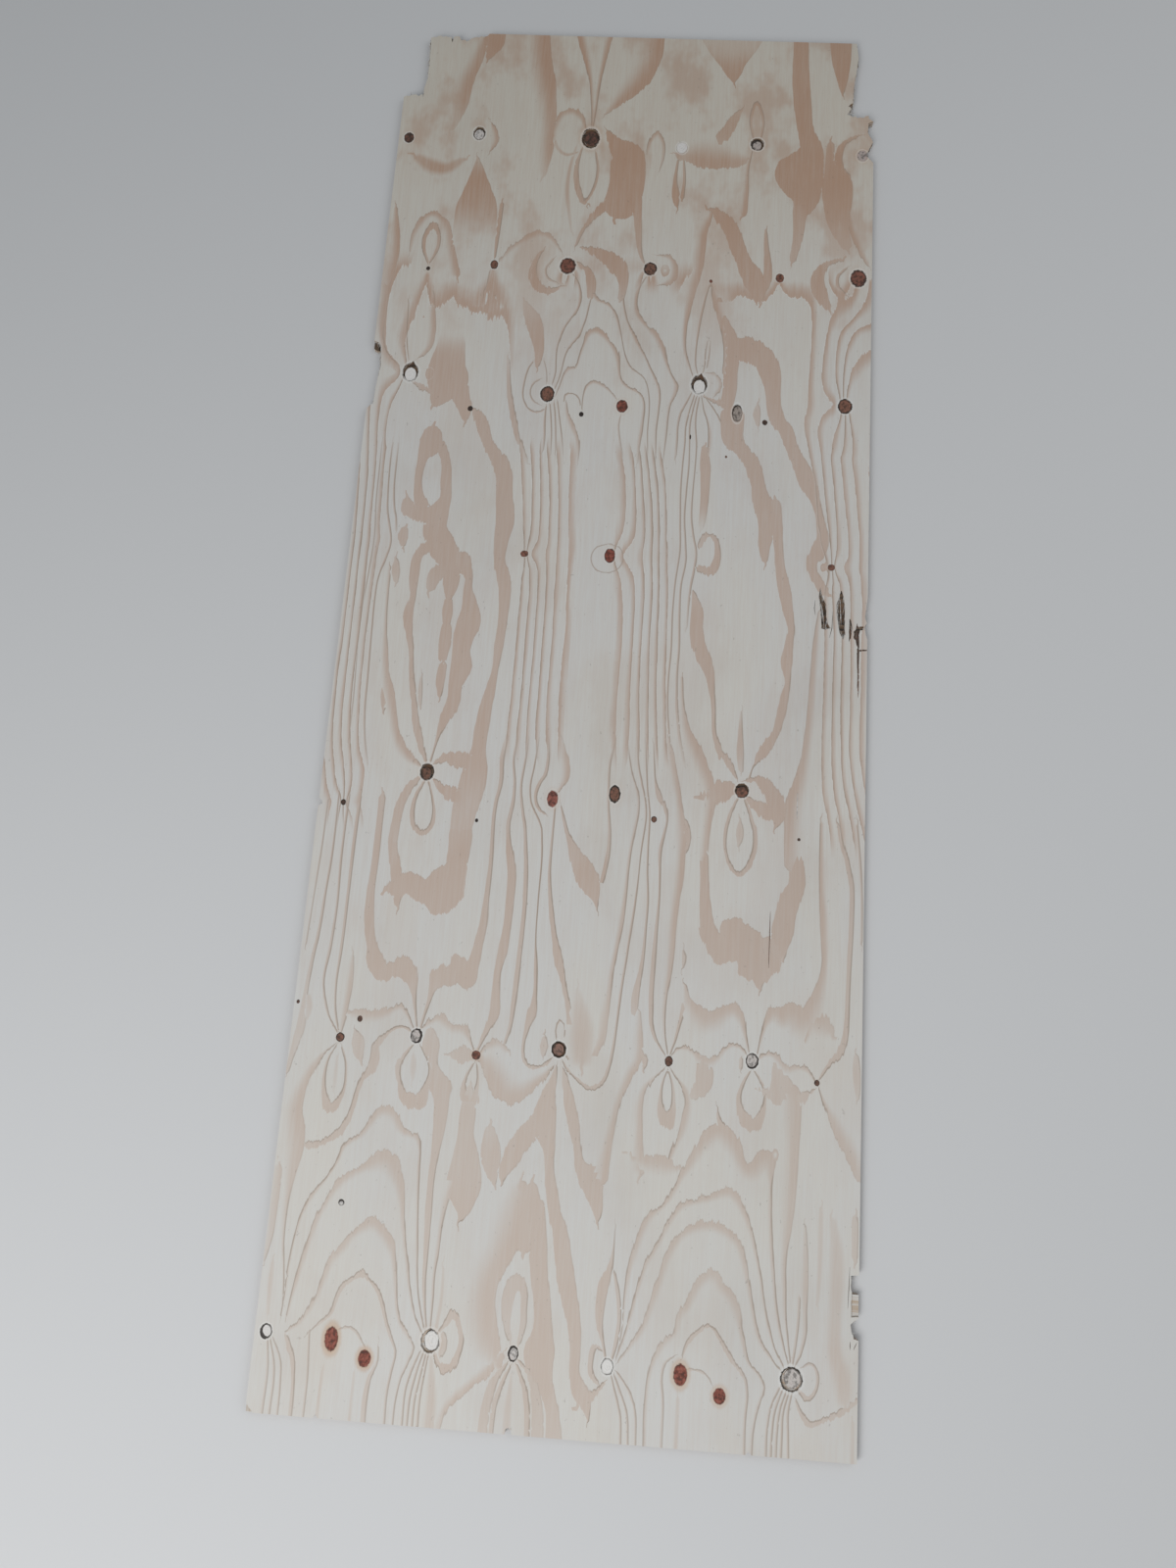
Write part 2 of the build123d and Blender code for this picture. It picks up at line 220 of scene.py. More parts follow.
FLAMES = [
    # from the head down to the first row of knots
    streak(RIGHT, (-304, 1205, 10, 0.9), (-318, 1155, 16), (-334, 1105, 20), (-340, 1050, 18, 0.7),
        (-348, 1005, 8, 0.3)),
    streak(BOTH, (-282, 1225, 21, 1), (-283, 1192, 18), (-290, 1166, 5, 0.9)),
    streak(RIGHT, (-202, 1225, 26, 1), (-194, 1160), (-183, 1110), (-172, 1060, 22, 0.9), (-166, 1010, 18),
        (-166, 960, 16, 0.8), (-168, 910, 9, 0.4)),
    streak(LEFT, (-114, 1225, 10, 1), (-100, 1170, 8), (-89, 1120, 5, 0.9), (-83, 1060, 3, 0.8),
        (-81, 1015, 2)),
    streak(RIGHT, (-62, 1225, 8, 0.9), (-70, 1165, 6), (-75, 1110, 4), (-77, 1060, 3, 0.8), (-80, 1015, 2)),
    streak(RIGHT, (26, 1225, 20, 1), (18, 1175, 24), (4, 1138, 26), (-16, 1106, 22), (-38, 1075, 13, 0.9),
        (-56, 1048, 4, 0.6)),
    streak(BOTH, (175, 1225, 60, 0.3), (176, 1190, 42, 0.5), (178, 1162, 24, 0.9), (180, 1140, 14, 1),
        (181, 1127, 4)),
    streak(BOTH, (306, 1225, 14, 1), (307, 1150, 16), (312, 1080, 17), (320, 1020, 16), (331, 978, 22),
        (322, 952, 36), (312, 930, 48), (317, 900, 40), (322, 872, 26), (313, 840, 14, 0.9),
        (311, 800, 10, 0.8), (302, 745, 6, 0.7)),
    streak(BOTH, (381, 1225, 21, 1), (383, 1170, 17), (385, 1135, 10), (386, 1106, 3, 0.9)),
    streak(BOTH, (366, 992, 7, 0.8), (366, 955, 10, 0.9), (378, 920, 26, 1), (380, 885, 28),
        (381, 850, 24, 0.9), (386, 815, 19, 0.7), (398, 780, 11, 0.5)),
    # eyes and tails of the first row
    streak(RIGHT, (-272, 1015, 3, 0.8), (-264, 995, 7), (-262, 975), (-268, 960, 3)),
    streak(RIGHT, (-151, 980, 4, 0.6), (-149, 1015, 6, 0.8), (-138, 1040, 9), (-120, 1047), (-104, 1034, 7),
        (-94, 1012, 3)),
    streak(SOFT, (-150, 985, 4, 0.5), (-140, 962, 5), (-125, 952, 5, 0.6), (-106, 958, 3)),
    streak(BOTH, (-97, 966, 2, 0.7), (-104, 930, 4), (-102, 895, 5, 0.8), (-93, 864), (-85, 848, 4),
        (-76, 864, 3), (-67, 890), (-64, 925, 3, 0.7), (-70, 958, 2)),
    streak(SOFT, (-108, 970, 3, 0.4), (-117, 920, 5, 0.6), (-118, 870, 6, 0.7), (-112, 830, 5, 0.5),
        (-104, 785, 3, 0.3)),
    streak(BOTH, (-50, 1004, 5, 1), (-36, 982, 14), (-12, 955, 31), (-8, 920, 33), (-9, 880), (-16, 850)),
    streak(BOTH, (-32, 855, 12, 1), (-54, 836, 9), (-70, 815, 6, 0.8), (-86, 785, 4, 0.7), (-94, 757, 2)),
    streak(BOTH, (10, 865, 12, 1), (16, 822, 8, 0.9), (20, 780, 6, 0.8), (24, 750, 4), (32, 728, 2)),
    streak(RIGHT, (26, 962, 3, 0.5), (33, 990, 5, 0.8), (43, 1005, 6), (52, 990, 5), (55, 955, 4, 0.6),
        (50, 925, 2, 0.4)),
    streak(BOTH, (84, 948, 2, 0.7), (81, 905, 4, 0.9), (84, 868, 7, 1), (86, 851, 4)),
    streak(BOTH, (95, 948, 2, 0.7), (98, 905, 3, 0.8), (96, 866, 4, 1)),
    streak(LEFT, (96, 966, 20, 0.7), (120, 968, 33, 0.9), (147, 966, 35), (174, 962, 29),
        (197, 957, 19, 0.8), (213, 958, 7, 0.5)),
    streak(BOTH, (158, 985, 12, 0.7), (170, 1012, 12, 0.8), (184, 1040, 10), (196, 1062, 3, 0.6)),
    streak(BOTH, (222, 1004, 2, 0.6), (216, 1040, 3), (226, 1082, 3, 0.8), (240, 1040, 3, 0.6),
        (237, 1004, 2)),
    streak(RIGHT, (220, 972, 2, 0.8), (213, 930, 4), (211, 880, 7, 0.9), (206, 840, 10, 1)),
    streak(BOTH, (414, 1012, 3, 0.6), (394, 1000, 5, 0.8), (382, 975, 7, 1), (384, 945),
        (400, 925, 4, 0.8)),
    # between the first and second rows
    streak(BOTH, (-291, 938, 3, 0.5), (-288, 905, 14, 1), (-285, 868, 27), (-284, 835, 38, 0.9),
        (-284, 800, 40, 0.5), (-284, 772, 40, 0)),
    streak(SOFT, (-402, 934, 14, 0.7), (-376, 918, 22, 0.9), (-350, 914, 18), (-322, 932, 10, 0.6)),
    streak(BOTH, (-364, 712, 2, 0.7), (-374, 740, 4, 0.9), (-372, 775, 5), (-361, 793), (-350, 775, 4, 0.8),
        (-349, 740, 3, 0.7), (-360, 712, 2)),
    streak(RIGHT, (-398, 735, 4, 0.5), (-391, 780, 7, 0.8), (-366, 813, 8, 0.9), (-341, 796, 8, 0.8),
        (-330, 760, 9), (-321, 725, 10, 0.9), (-312, 690, 10, 1)),
    streak(RIGHT, (-436, 825, 4, 0.8), (-432, 780, 9, 1), (-429, 740, 11), (-431, 700, 10, 0.9),
        (-436, 660, 7, 0.7)),
    streak(BOTH, (-238, 840, 4, 0.8), (-240, 780, 4, 0.9), (-241, 728, 2, 0.8)),
    streak(LEFT, (-246, 696, 3, 0.6), (-247, 668, 5, 0.7), (-252, 650)),
    streak(RIGHT, (-229, 722, 4, 0.5), (-208, 750, 6, 0.7), (-185, 768, 8, 0.8), (-160, 780),
        (-138, 768, 6, 0.7), (-121, 744, 3, 0.5)),
    streak(BOTH, (-157, 742, 3, 0.7), (-168, 715, 5, 0.9), (-168, 690, 8, 1), (-155, 668, 9),
        (-138, 661, 6, 0.9), (-120, 668, 3, 0.8)),
    streak(BOTH, (-134, 728, 2, 0.5), (-146, 706, 2, 0.6), (-139, 686), (-124, 680, 1.5, 0.5)),
    streak(BOTH, (-88, 722, 3, 0.8), (-70, 706, 7, 1), (-61, 682, 9), (-60, 655, 7, 0.8)),
    streak(BOTH, (-78, 753, 4, 0.8), (-55, 746, 8, 1), (-35, 736, 14), (-19, 722, 18), (-7, 703, 13),
        (-2, 678, 8, 0.9), (-5, 652, 6, 0.7)),
    streak(RIGHT, (60, 743, 3, 0.6), (79, 739, 6, 0.8), (88, 716, 8, 0.9), (82, 692), (67, 684, 3, 0.7)),
    streak(RIGHT, (150, 840, 5, 0.8), (138, 800, 9, 1), (131, 760, 12), (128, 720), (124, 690, 10, 0.9),
        (118, 655, 8, 0.8)),
    streak(BOTH, (150, 843, 6, 0.9), (172, 828, 13, 1), (190, 798, 15), (204, 760, 14), (220, 725, 17),
        (235, 695, 21), (242, 668, 12)),
    streak(BOTH, (252, 802, 3, 0.8), (254, 770, 5, 0.9), (257, 735, 7, 1), (257, 700, 8), (250, 676)),
    streak(BOTH, (386, 748, 4, 0.7), (362, 736, 7, 0.9), (348, 710, 12, 1), (352, 680, 14),
        (366, 652, 9, 0.9)),
    streak(BOTH, (398, 730, 2, 0.7), (385, 715, 3, 0.8), (384, 695), (396, 680, 2, 0.7)),
    streak(LEFT, (403, 845, 4, 0.8), (411, 805, 8, 0.9), (424, 772, 7, 0.8), (438, 742, 5, 0.7)),
    # between the second row and the third, from left to right
    streak(BOTH, (-176, 632, 6, 0.4), (-160, 600, 15, 0.8), (-151, 570, 13, 1), (-145, 540, 9),
        (-146, 512, 5, 0.9)),
    streak(BOTH, (-151, 522, 1.5, 0.7), (-161, 505, 1.5, 0.8), (-167, 475, 1.8), (-168, 452), (-163, 434),
        (-153, 421), (-139, 417), (-127, 423, 1.5, 0.6)),
    streak(BOTH, (-140, 482, 1.5, 0.6), (-150, 475, 1.5, 0.7), (-155, 461), (-153, 446),
        (-146, 437, 1.5, 0.6), (-138, 433, 1.5, 0.5)),
    streak(BOTH, (-199, 520, 3, 0.3), (-193, 465, 4, 0.8), (-186, 425, 5, 0.9), (-178, 395), (-170, 368),
        (-160, 345, 4, 0.7), (-150, 322, 3, 0.3)),
    streak(RIGHT, (-95, 697, 2, 0.7), (-87, 684, 2.5, 0.9), (-81, 666, 3, 1), (-79, 648, 3.5),
        (-82, 630, 3), (-89, 614, 3, 0.9), (-98, 600), (-105, 586), (-110, 568, 2.5), (-114, 548, 2),
        (-114, 518, 1.8), (-113, 500, 1.8, 0.8), (-117, 476, 1.5)),
    streak(RIGHT, (-60, 650, 2, 0.8), (-63, 630, 2, 0.9), (-66, 610), (-71, 590, 2.5), (-78, 571, 3),
        (-87, 558, 3.5), (-95, 544, 2.5), (-100, 524, 2), (-103, 502, 2, 0.8), (-107, 482, 1.5),
        (-112, 466, 1.5, 0.7)),
    streak(BOTH, (-135, 520, 1.2, 0.4), (-129, 500, 1.2, 0.6), (-127, 478)),
    streak(RIGHT, (-56, 656, 5, 0.8), (-46, 645, 4, 0.9), (-34, 641), (-23, 634), (-14, 620, 3.5),
        (-8, 603, 3), (-3, 586, 2, 0.8), (2, 566, 1.5), (7, 545), (12, 528, 2, 0.9), (20, 513, 2.5),
        (33, 503, 2, 0.8), (45, 494, 1.5), (52, 478), (56, 458), (58, 425), (57, 390), (59, 355, 1.5, 0.6),
        (60, 330, 1.2, 0.2)),
    streak(RIGHT, (-4, 690, 4, 0.8), (-3, 660, 3, 0.9), (0, 640, 2.5), (5, 618), (11, 600),
        (18, 585, 3.5, 1), (26, 568, 4), (36, 550, 3, 0.9), (45, 535), (53, 517, 2.5), (62, 498, 3),
        (70, 480, 3.5), (74, 462, 3), (74, 430, 2.5), (72, 395, 2), (73, 355, 2, 0.6), (74, 328, 1.5, 0.2)),
    streak(RIGHT, (37, 697, 2, 0.6), (28, 682, 3, 0.8), (22, 662, 4, 0.9), (21, 640, 4.5), (25, 621),
        (35, 606, 4), (48, 592, 5), (60, 579, 7, 1), (69, 564, 8), (76, 547, 6), (81, 530, 4),
        (87, 515, 3.5, 0.9), (95, 498, 3), (103, 482, 5, 1), (101, 464, 5, 0.9), (94, 446, 3.5),
        (91, 420, 2.5), (90, 390), (88, 355, 2, 0.6), (87, 328, 1.5, 0.2)),
    streak(RIGHT, (-110, 448, 1.5, 0.6), (-103, 470, 1.5, 0.7), (-97, 492, 2.5, 0.8), (-88, 506, 5, 0.9),
        (-78, 507, 3), (-72, 527, 2.5), (-68, 545, 3), (-63, 562, 3.5), (-57, 577, 6), (-48, 583, 7, 1),
        (-38, 579), (-27, 569, 6), (-16, 555), (-8, 540), (-3, 520, 4, 0.9), (0, 503, 3), (4, 488),
        (12, 477, 3.5), (24, 470), (36, 464, 3), (45, 454), (48, 438), (47, 412, 3.5), (45, 385, 4),
        (42, 355, 4, 0.6), (42, 328, 3, 0.2)),
    streak(RIGHT, (-60, 428, 1.5, 0.7), (-60, 445, 1.5, 0.8), (-58, 461, 2), (-53, 474, 3.5, 0.9),
        (-44, 481, 4), (-34, 478), (-22, 471, 3.5, 0.8), (-11, 461, 3, 0.7), (-3, 451, 2, 0.5)),
    streak(BOTH, (-93, 442, 1.2, 0.7), (-91, 455, 1.5, 0.8), (-80, 457), (-69, 451), (-64, 436, 1.2, 0.7)),
    streak(RIGHT, (-90, 440, 2, 0.6), (-88, 420, 4, 0.9), (-81, 402, 6), (-73, 385), (-66, 368, 5),
        (-63, 345, 4, 0.6), (-63, 322, 3, 0.2)),
    streak(BOTH, (-125, 428, 1.5, 0.8), (-125, 400, 2, 0.9), (-123, 370, 2, 0.8), (-124, 340, 2, 0.4)),
    streak(BOTH, (-118, 433, 1.2, 0.7), (-114, 405, 1.4, 0.8), (-111, 375), (-110, 340, 1.4, 0.4)),
    streak(BOTH, (-111, 436, 1.2, 0.7), (-107, 410, 1.4, 0.8), (-104, 380), (-101, 340, 1.4, 0.4)),
    streak(BOTH, (-105, 440, 1.2, 0.7), (-101, 418, 1.4, 0.8), (-97, 396), (-92, 368, 1.4, 0.6),
        (-88, 335, 1.4, 0.2)),
    streak(BOTH, (8, 416, 1.5, 0.5), (6, 400, 1.8, 0.6), (9, 375, 2), (14, 348, 2, 0.5), (17, 325, 2, 0.2)),
    streak(RIGHT, (120, 668, 8, 0.9), (117, 648, 8, 1), (114, 620, 6), (112, 590, 5), (113, 560, 4, 0.9),
        (118, 538, 3), (125, 518, 2.5, 0.8), (131, 503, 1.5, 0.7)),
    streak(BOTH, (154, 686, 1.2, 0.6), (149, 665, 1.5, 0.8), (144, 638, 2), (140, 610), (137, 580, 1.8),
        (135, 550, 1.5), (136, 522, 1.5, 0.7), (140, 506, 1.2, 0.6)),
    streak(LEFT, (158, 688, 2, 0.7), (163, 672, 5, 0.9), (170, 652, 9, 1), (177, 625, 8), (183, 598, 6),
        (187, 570, 5), (189, 540, 5, 0.9), (189, 512, 7, 0.8)),
    streak(BOTH, (155, 570, 1, 0.4), (152, 548, 1.5, 0.7), (152, 525), (150, 510, 1.2, 0.5)),
    streak(BOTH, (160, 568, 1, 0.3), (159, 545, 1.5, 0.6), (156, 520)),
    streak(BOTH, (131, 467, 1.2, 0.7), (122, 446, 1.8, 0.8), (114, 428, 2), (110, 405), (110, 375),
        (109, 340, 2, 0.4)),
    streak(BOTH, (136, 462, 1.2, 0.7), (129, 432, 1.5, 0.8), (124, 402), (124, 370), (122, 330), (121, 280),
        (123, 220), (125, 165), (120, 110), (118, 50), (119, -10), (117, -70), (119, -125, 2, 0.7),
        (126, -180, 2, 0.5), (130, -215, 2, 0.2)),
    streak(BOTH, (140, 460, 1.2, 0.7), (134, 428, 1.5, 0.8), (131, 402), (132, 375), (133, 330), (131, 280),
        (130, 225), (134, 180, 1.8), (136, 150), (130, 105), (130, 50, 2), (132, -5), (131, -60),
        (134, -115, 2.5, 0.7), (141, -165, 2.5, 0.5), (150, -205, 2.5, 0.2)),
    streak(BOTH, (145, 458, 1.2, 0.7), (141, 428, 1.5, 0.8), (141, 402), (144, 375), (144, 330), (142, 275),
        (142, 230, 1.8), (147, 195, 2), (153, 165, 2, 0.7), (152, 142, 2, 0.8), (147, 108),
        (144, 65, 2, 0.6), (143, 25, 2, 0.2)),
    streak(BOTH, (-391, 345, 1.5, 0.3), (-391, 300, 1.5, 0.8), (-389, 250), (-385, 210, 1.8), (-378, 182),
        (-374, 158), (-379, 130), (-388, 98, 1.5), (-391, 50), (-390, 0), (-388, -80, 1.8),
        (-386, -150, 1.8, 0.7), (-379, -205, 1.8, 0.5), (-371, -240, 1.8, 0.2)),
    streak(BOTH, (-380, 345, 1.5, 0.2), (-380, 300, 1.5, 0.7), (-379, 258, 1.5, 0.8), (-375, 225, 1.8),
        (-369, 198, 2, 0.7), (-367, 180, 2, 0.3)),
    streak(BOTH, (-410, 350, 1.2, 0.2), (-409, 300, 1.2, 0.6), (-408, 230), (-404, 170), (-406, 110),
        (-410, 50), (-411, -30), (-408, -110), (-407, -200, 1.2, 0.3)),
    streak(BOTH, (-391, 632, 1.2, 0.5), (-390, 600, 1.5, 0.7), (-388, 565, 1.5, 0.8), (-384, 535, 1.5, 0.7),
        (-379, 512, 1.2, 0.4)),
    streak(LEFT, (150, 460, 1.2, 0.7), (155, 436, 1.8, 0.8), (163, 414, 3, 0.9), (168, 390, 4), (168, 362),
        (165, 335, 3, 0.6), (163, 305, 2, 0.3)),
    streak(BOTH, (154, 463, 1.2, 0.7), (164, 449, 1.5, 0.8), (176, 431), (188, 406, 2), (194, 382, 2, 0.6)),
    # the ring round the red knot above the middle, and the curls beside it
    streak(BOTH, (4, 173, 1, 0.5), (22, 168, 1, 0.6), (29, 150), (22, 129), (2, 120), (-18, 127),
        (-26, 146), (-19, 165), (0, 173, 1, 0.5)),
    # the left hill, from its head down
    streak(RIGHT, (-438, 665, 9, 0.9), (-438, 600, 9, 1), (-436, 560, 6, 0.9), (-424, 525, 4, 0.8),
        (-402, 503, 2, 0.6)),
    streak(RIGHT, (-350, 650, 4, 0.5), (-346, 605, 7, 0.9), (-343, 565, 8), (-347, 536, 7),
        (-360, 518, 3, 0.7)),
    streak(BOTH, (-305, 566, 22, 0), (-305, 535, 27, 0.8), (-308, 500, 34, 1), (-306, 470, 38),
        (-312, 450, 30), (-318, 436, 15)),
    streak(BOTH, (-292, 470, 22, 1), (-277, 440, 17), (-268, 415, 12), (-267, 400, 7)),
    streak(BOTH, (-300, 452, 14, 0.9), (-330, 452, 9), (-352, 458, 4, 0.8), (-366, 467, 2, 0.6)),
    streak(BOTH, (-254, 418, 3, 0.9), (-239, 400, 11, 1), (-228, 370), (-215, 342), (-203, 325, 14),
        (-190, 300, 15), (-186, 270), (-183, 240, 16), (-179, 208, 17), (-183, 172, 13), (-182, 130, 10),
        (-172, 100, 12), (-168, 60, 10), (-168, 20, 8), (-171, -20, 8, 0.9), (-173, -60, 6),
        (-178, -95, 9, 1), (-184, -130, 11), (-188, -170, 12), (-190, -205, 13), (-192, -235, 20),
        (-196, -265, 22, 0.9), (-202, -300, 21, 0.8), (-208, -350, 17)),
    streak(BOTH, (-200, -224, 14, 1), (-222, -222, 13), (-242, -219, 9), (-258, -228, 4, 0.9)),
    streak(BOTH, (-258, -258, 3, 0.9), (-243, -272, 8, 1), (-226, -280, 12), (-212, -285, 14, 0.9)),
    streak(BOTH, (-322, 364, 18, 1), (-324, 345, 23), (-334, 322, 11), (-338, 290, 7), (-336, 255, 8),
        (-326, 228, 14)),
    streak(BOTH, (-306, 348, 9, 1), (-293, 315), (-289, 275, 10), (-287, 240, 11), (-297, 215, 20),
        (-300, 185, 21), (-288, 160, 26), (-272, 135, 22), (-263, 105, 15), (-263, 80, 13), (-264, 58, 4)),
    streak(BOTH, (-354, 236, 8, 0.9), (-350, 222, 15), (-330, 215, 16, 1), (-308, 210, 20)),
    streak(BOTH, (-353, 180, 8, 0.9), (-354, 168, 10), (-352, 156, 6)),
    streak(BOTH, (-300, 158, 14, 1), (-322, 140, 9), (-327, 100), (-326, 55, 6, 0.9), (-330, 28, 9, 1),
        (-326, 0, 7), (-319, -35, 5, 0.9), (-314, -80), (-306, -120), (-298, -160, 6), (-286, -200),
        (-276, -226, 3)),
    streak(BOTH, (-361, 126, 4, 0.7), (-360, 108, 8, 0.8), (-358, 88, 5, 0.6)),
    streak(BOTH, (-270, 118, 12, 1), (-292, 98, 13, 0.9), (-296, 80, 9, 0.8)),
    streak(BOTH, (-264, 56, 7, 1), (-264, 32, 9), (-263, 14, 6)),
    streak(BOTH, (-263, 8, 9, 1), (-263, -20, 11), (-264, -47, 8)),
    streak(BOTH, (-262, -60, 7, 1), (-264, -85, 8), (-263, -112, 4)),
    streak(BOTH, (-250, 128, 20, 1), (-234, 105, 8), (-232, 75), (-226, 48, 14), (-225, 18, 20),
        (-231, -5, 18), (-234, -35, 15), (-231, -60, 18), (-238, -92, 12), (-239, -125, 11),
        (-249, -150, 10), (-256, -172, 5), (-262, -200, 2, 0.9), (-267, -226)),
    streak(BOTH, (-297, -80, 2, 0.5), (-296, -105, 4, 0.6), (-294, -135, 3, 0.5)),
    streak(RIGHT, (-372, 110, 4, 0.8), (-368, 0), (-364, -45, 7, 0.9), (-358, -85, 8), (-349, -118, 12, 1),
        (-340, -150, 9), (-332, -182), (-318, -210, 11), (-302, -226, 9), (-284, -236, 3, 0.9)),
    streak(BOTH, (-356, -100, 6, 0.8), (-356, -122, 7, 0.9), (-354, -144, 3, 0.8)),
    streak(BOTH, (-283, -256, 3, 0.8), (-299, -273, 7, 0.9), (-309, -300, 8), (-313, -330),
        (-316, -365, 8, 0.8)),
    streak(BOTH, (-274, -260, 2, 0.8), (-286, -288, 3, 0.9), (-289, -315, 4), (-283, -338), (-270, -348),
        (-257, -338), (-253, -315, 3), (-258, -288, 2), (-267, -260, 2, 0.8)),
    # the right hill, from its head down
    streak(BOTH, (170, 655, 8, 0.9), (178, 620), (192, 590, 12, 1), (200, 560, 16), (198, 515, 13),
        (198, 480), (194, 450, 12)),
    streak(BOTH, (196, 568, 12, 1), (215, 560, 26), (240, 553, 23), (258, 536, 21), (270, 508, 18),
        (274, 475, 14), (277, 448, 13), (285, 420, 14), (300, 399, 13), (309, 375, 11), (320, 350, 12),
        (329, 330, 14), (337, 310, 15), (346, 290, 13), (354, 270, 8), (360, 250, 6), (365, 220, 9),
        (367, 200, 11), (361, 180, 13), (350, 160, 10), (356, 130, 8), (372, 108, 9)),
    streak(BOTH, (195, 452, 11, 0.9), (176, 452, 5), (154, 462, 2, 0.7)),
    streak(BOTH, (205, 424, 22, 1), (206, 400, 20), (207, 382, 19), (222, 362, 14), (240, 342), (249, 315),
        (255, 290, 12), (262, 265, 17), (272, 245, 20), (272, 215, 15), (268, 185, 11), (270, 158, 6)),
    streak(BOTH, (285, 262, 10, 0.9), (288, 230, 10, 1), (292, 190, 8), (296, 150), (304, 110, 11),
        (312, 70, 9), (319, 35, 6), (315, 5, 8), (312, -25, 10), (315, -55, 5), (311, -80, 7),
        (305, -115, 8), (298, -145, 7), (284, -170, 9), (273, -187, 8), (264, -202, 2, 0.9), (256, -228)),
    streak(BOTH, (160, 362, 6, 0.9), (162, 330, 9, 1), (163, 295, 8), (163, 255, 7), (160, 215, 5, 0.2)),
    streak(BOTH, (151, 95, 2, 0.8), (160, 58, 10, 1), (159, 30, 11), (163, 5, 12), (172, -18),
        (183, -42, 10), (189, -70, 6), (194, -110, 4, 0.9), (198, -155), (206, -180, 6), (222, -200),
        (236, -225, 2)),
    streak(RIGHT, (139, -60, 3, 0.8), (143, -110, 4), (150, -148, 8, 1), (163, -180, 13), (177, -208),
        (188, -235), (194, -262, 11), (191, -300, 8, 0.9), (187, -360, 8, 0.8)),
    streak(BOTH, (194, -256, 14, 0.9), (212, -250, 18, 1), (228, -245, 13), (236, -246, 5, 0.9)),
    streak(BOTH, (240, -112, 1.5, 0.4), (240, -150, 4, 0.8), (241, -185, 6), (243, -212, 4, 0.5)),
    streak(BOTH, (256, -228, 3, 0.9), (270, -226, 7, 1), (287, -238, 11), (300, -258, 14), (306, -282),
        (304, -298, 5)),
    streak(BOTH, (256, -258, 3, 0.9), (270, -270, 9, 1), (288, -278, 12), (303, -288, 9)),
    streak(LEFT, (366, 70, 4, 0.6), (361, 0, 7, 0.9), (358, -60), (355, -120, 8), (350, -180, 10),
        (343, -225, 14, 1), (334, -265, 18), (332, -310, 16, 0.9), (332, -360, 15, 0.8)),
    streak(BOTH, (239, -260, 2, 0.8), (228, -288, 3), (222, -318), (224, -350), (236, -376, 4, 0.9),
        (246, -384), (256, -376), (268, -350), (270, -318, 4, 0.8), (262, -288, 3), (252, -262, 2)),
    streak(BOTH, (245, -298, 3, 0.5), (245, -318, 7, 0.7), (245, -335, 3, 0.5)),
    streak(BOTH, (249, 448, 4, 0.6), (248, 430, 7, 0.7), (250, 412, 4, 0.6)),
    streak(BOTH, (159, 178, 4, 0.7), (168, 198, 5, 0.8), (182, 196, 5, 0.9), (189, 176), (188, 150, 7, 1),
        (178, 132, 9), (160, 137, 4, 0.9)),
    streak(RIGHT, (157, 508, 2, 0.4), (172, 504, 4, 0.6), (181, 486, 5, 0.7), (172, 466, 4, 0.6)),
    # below the left hill's top
    streak(BOTH, (-316, -362, 8, 0.9), (-312, -385), (-306, -410, 9, 1), (-300, -440, 10), (-298, -466, 4)),
    streak(BOTH, (-306, -440, 14, 1), (-294, -436, 20), (-280, -430, 19), (-264, -448, 12),
        (-252, -443, 26), (-240, -444, 35), (-228, -436, 38), (-217, -418, 27), (-208, -402, 18)),
    streak(BOTH, (-206, -345, 20, 0.9), (-206, -370, 18, 1), (-208, -395, 17), (-204, -418, 8, 0.8)),
    streak(BOTH, (-341, -290, 6, 0.8), (-341, -400, 6, 0.9), (-343, -450, 7), (-339, -500, 9, 1),
        (-331, -535, 10), (-323, -558, 15), (-312, -574, 14), (-295, -570, 12), (-277, -564, 19),
        (-265, -577, 13), (-258, -598, 6, 0.9), (-254, -620, 3), (-249, -645, 2), (-247, -656, 1.5)),
    streak(BOTH, (-144, -175, 3, 0.2), (-149, -212, 4, 0.8), (-148, -255), (-153, -290, 3.5),
        (-153, -400, 4, 0.9), (-155, -450, 5), (-157, -490, 7, 1), (-162, -525, 8), (-168, -555, 12),
        (-178, -570, 22), (-188, -563, 27), (-197, -572, 16), (-208, -572, 15), (-218, -575, 18),
        (-226, -588, 10, 0.9), (-231, -610, 4), (-237, -635, 2.5), (-241, -656, 1.5)),
    streak(RIGHT, (-350, -642, 8, 0.8), (-335, -643, 13, 0.9), (-318, -644, 12), (-300, -640, 9),
        (-285, -630, 6), (-276, -625, 5), (-266, -635, 4), (-258, -648, 3), (-253, -656, 2, 0.8)),
    streak(RIGHT, (-238, -656, 2, 0.8), (-228, -648, 5, 0.9), (-214, -640, 8), (-200, -650, 9),
        (-187, -655, 10), (-176, -654, 9), (-167, -664, 5), (-156, -682, 2, 0.8)),
    streak(RIGHT, (-362, -550, 4, 0.4), (-362, -590, 7, 0.8), (-364, -630, 6, 0.9), (-366, -655, 5, 0.8),
        (-367, -670, 3, 0.7)),
    streak(BOTH, (-413, -290, 1.5, 0.7), (-413, -400, 2, 0.8), (-416, -450), (-419, -510, 2.5),
        (-425, -565, 3, 0.7), (-429, -620, 4, 0.6), (-430, -665, 7), (-437, -700, 5), (-443, -735, 3)),
    streak(BOTH, (-396, -290, 2, 0.8), (-397, -400), (-395, -470), (-398, -540, 2.5), (-402, -600, 2),
        (-396, -625), (-386, -650), (-372, -670, 1.5)),
    streak(BOTH, (-377, -290, 2.5, 0.8), (-379, -370, 3), (-379, -450, 2.5), (-380, -540), (-382, -600, 2),
        (-378, -640), (-370, -668, 1.5)),
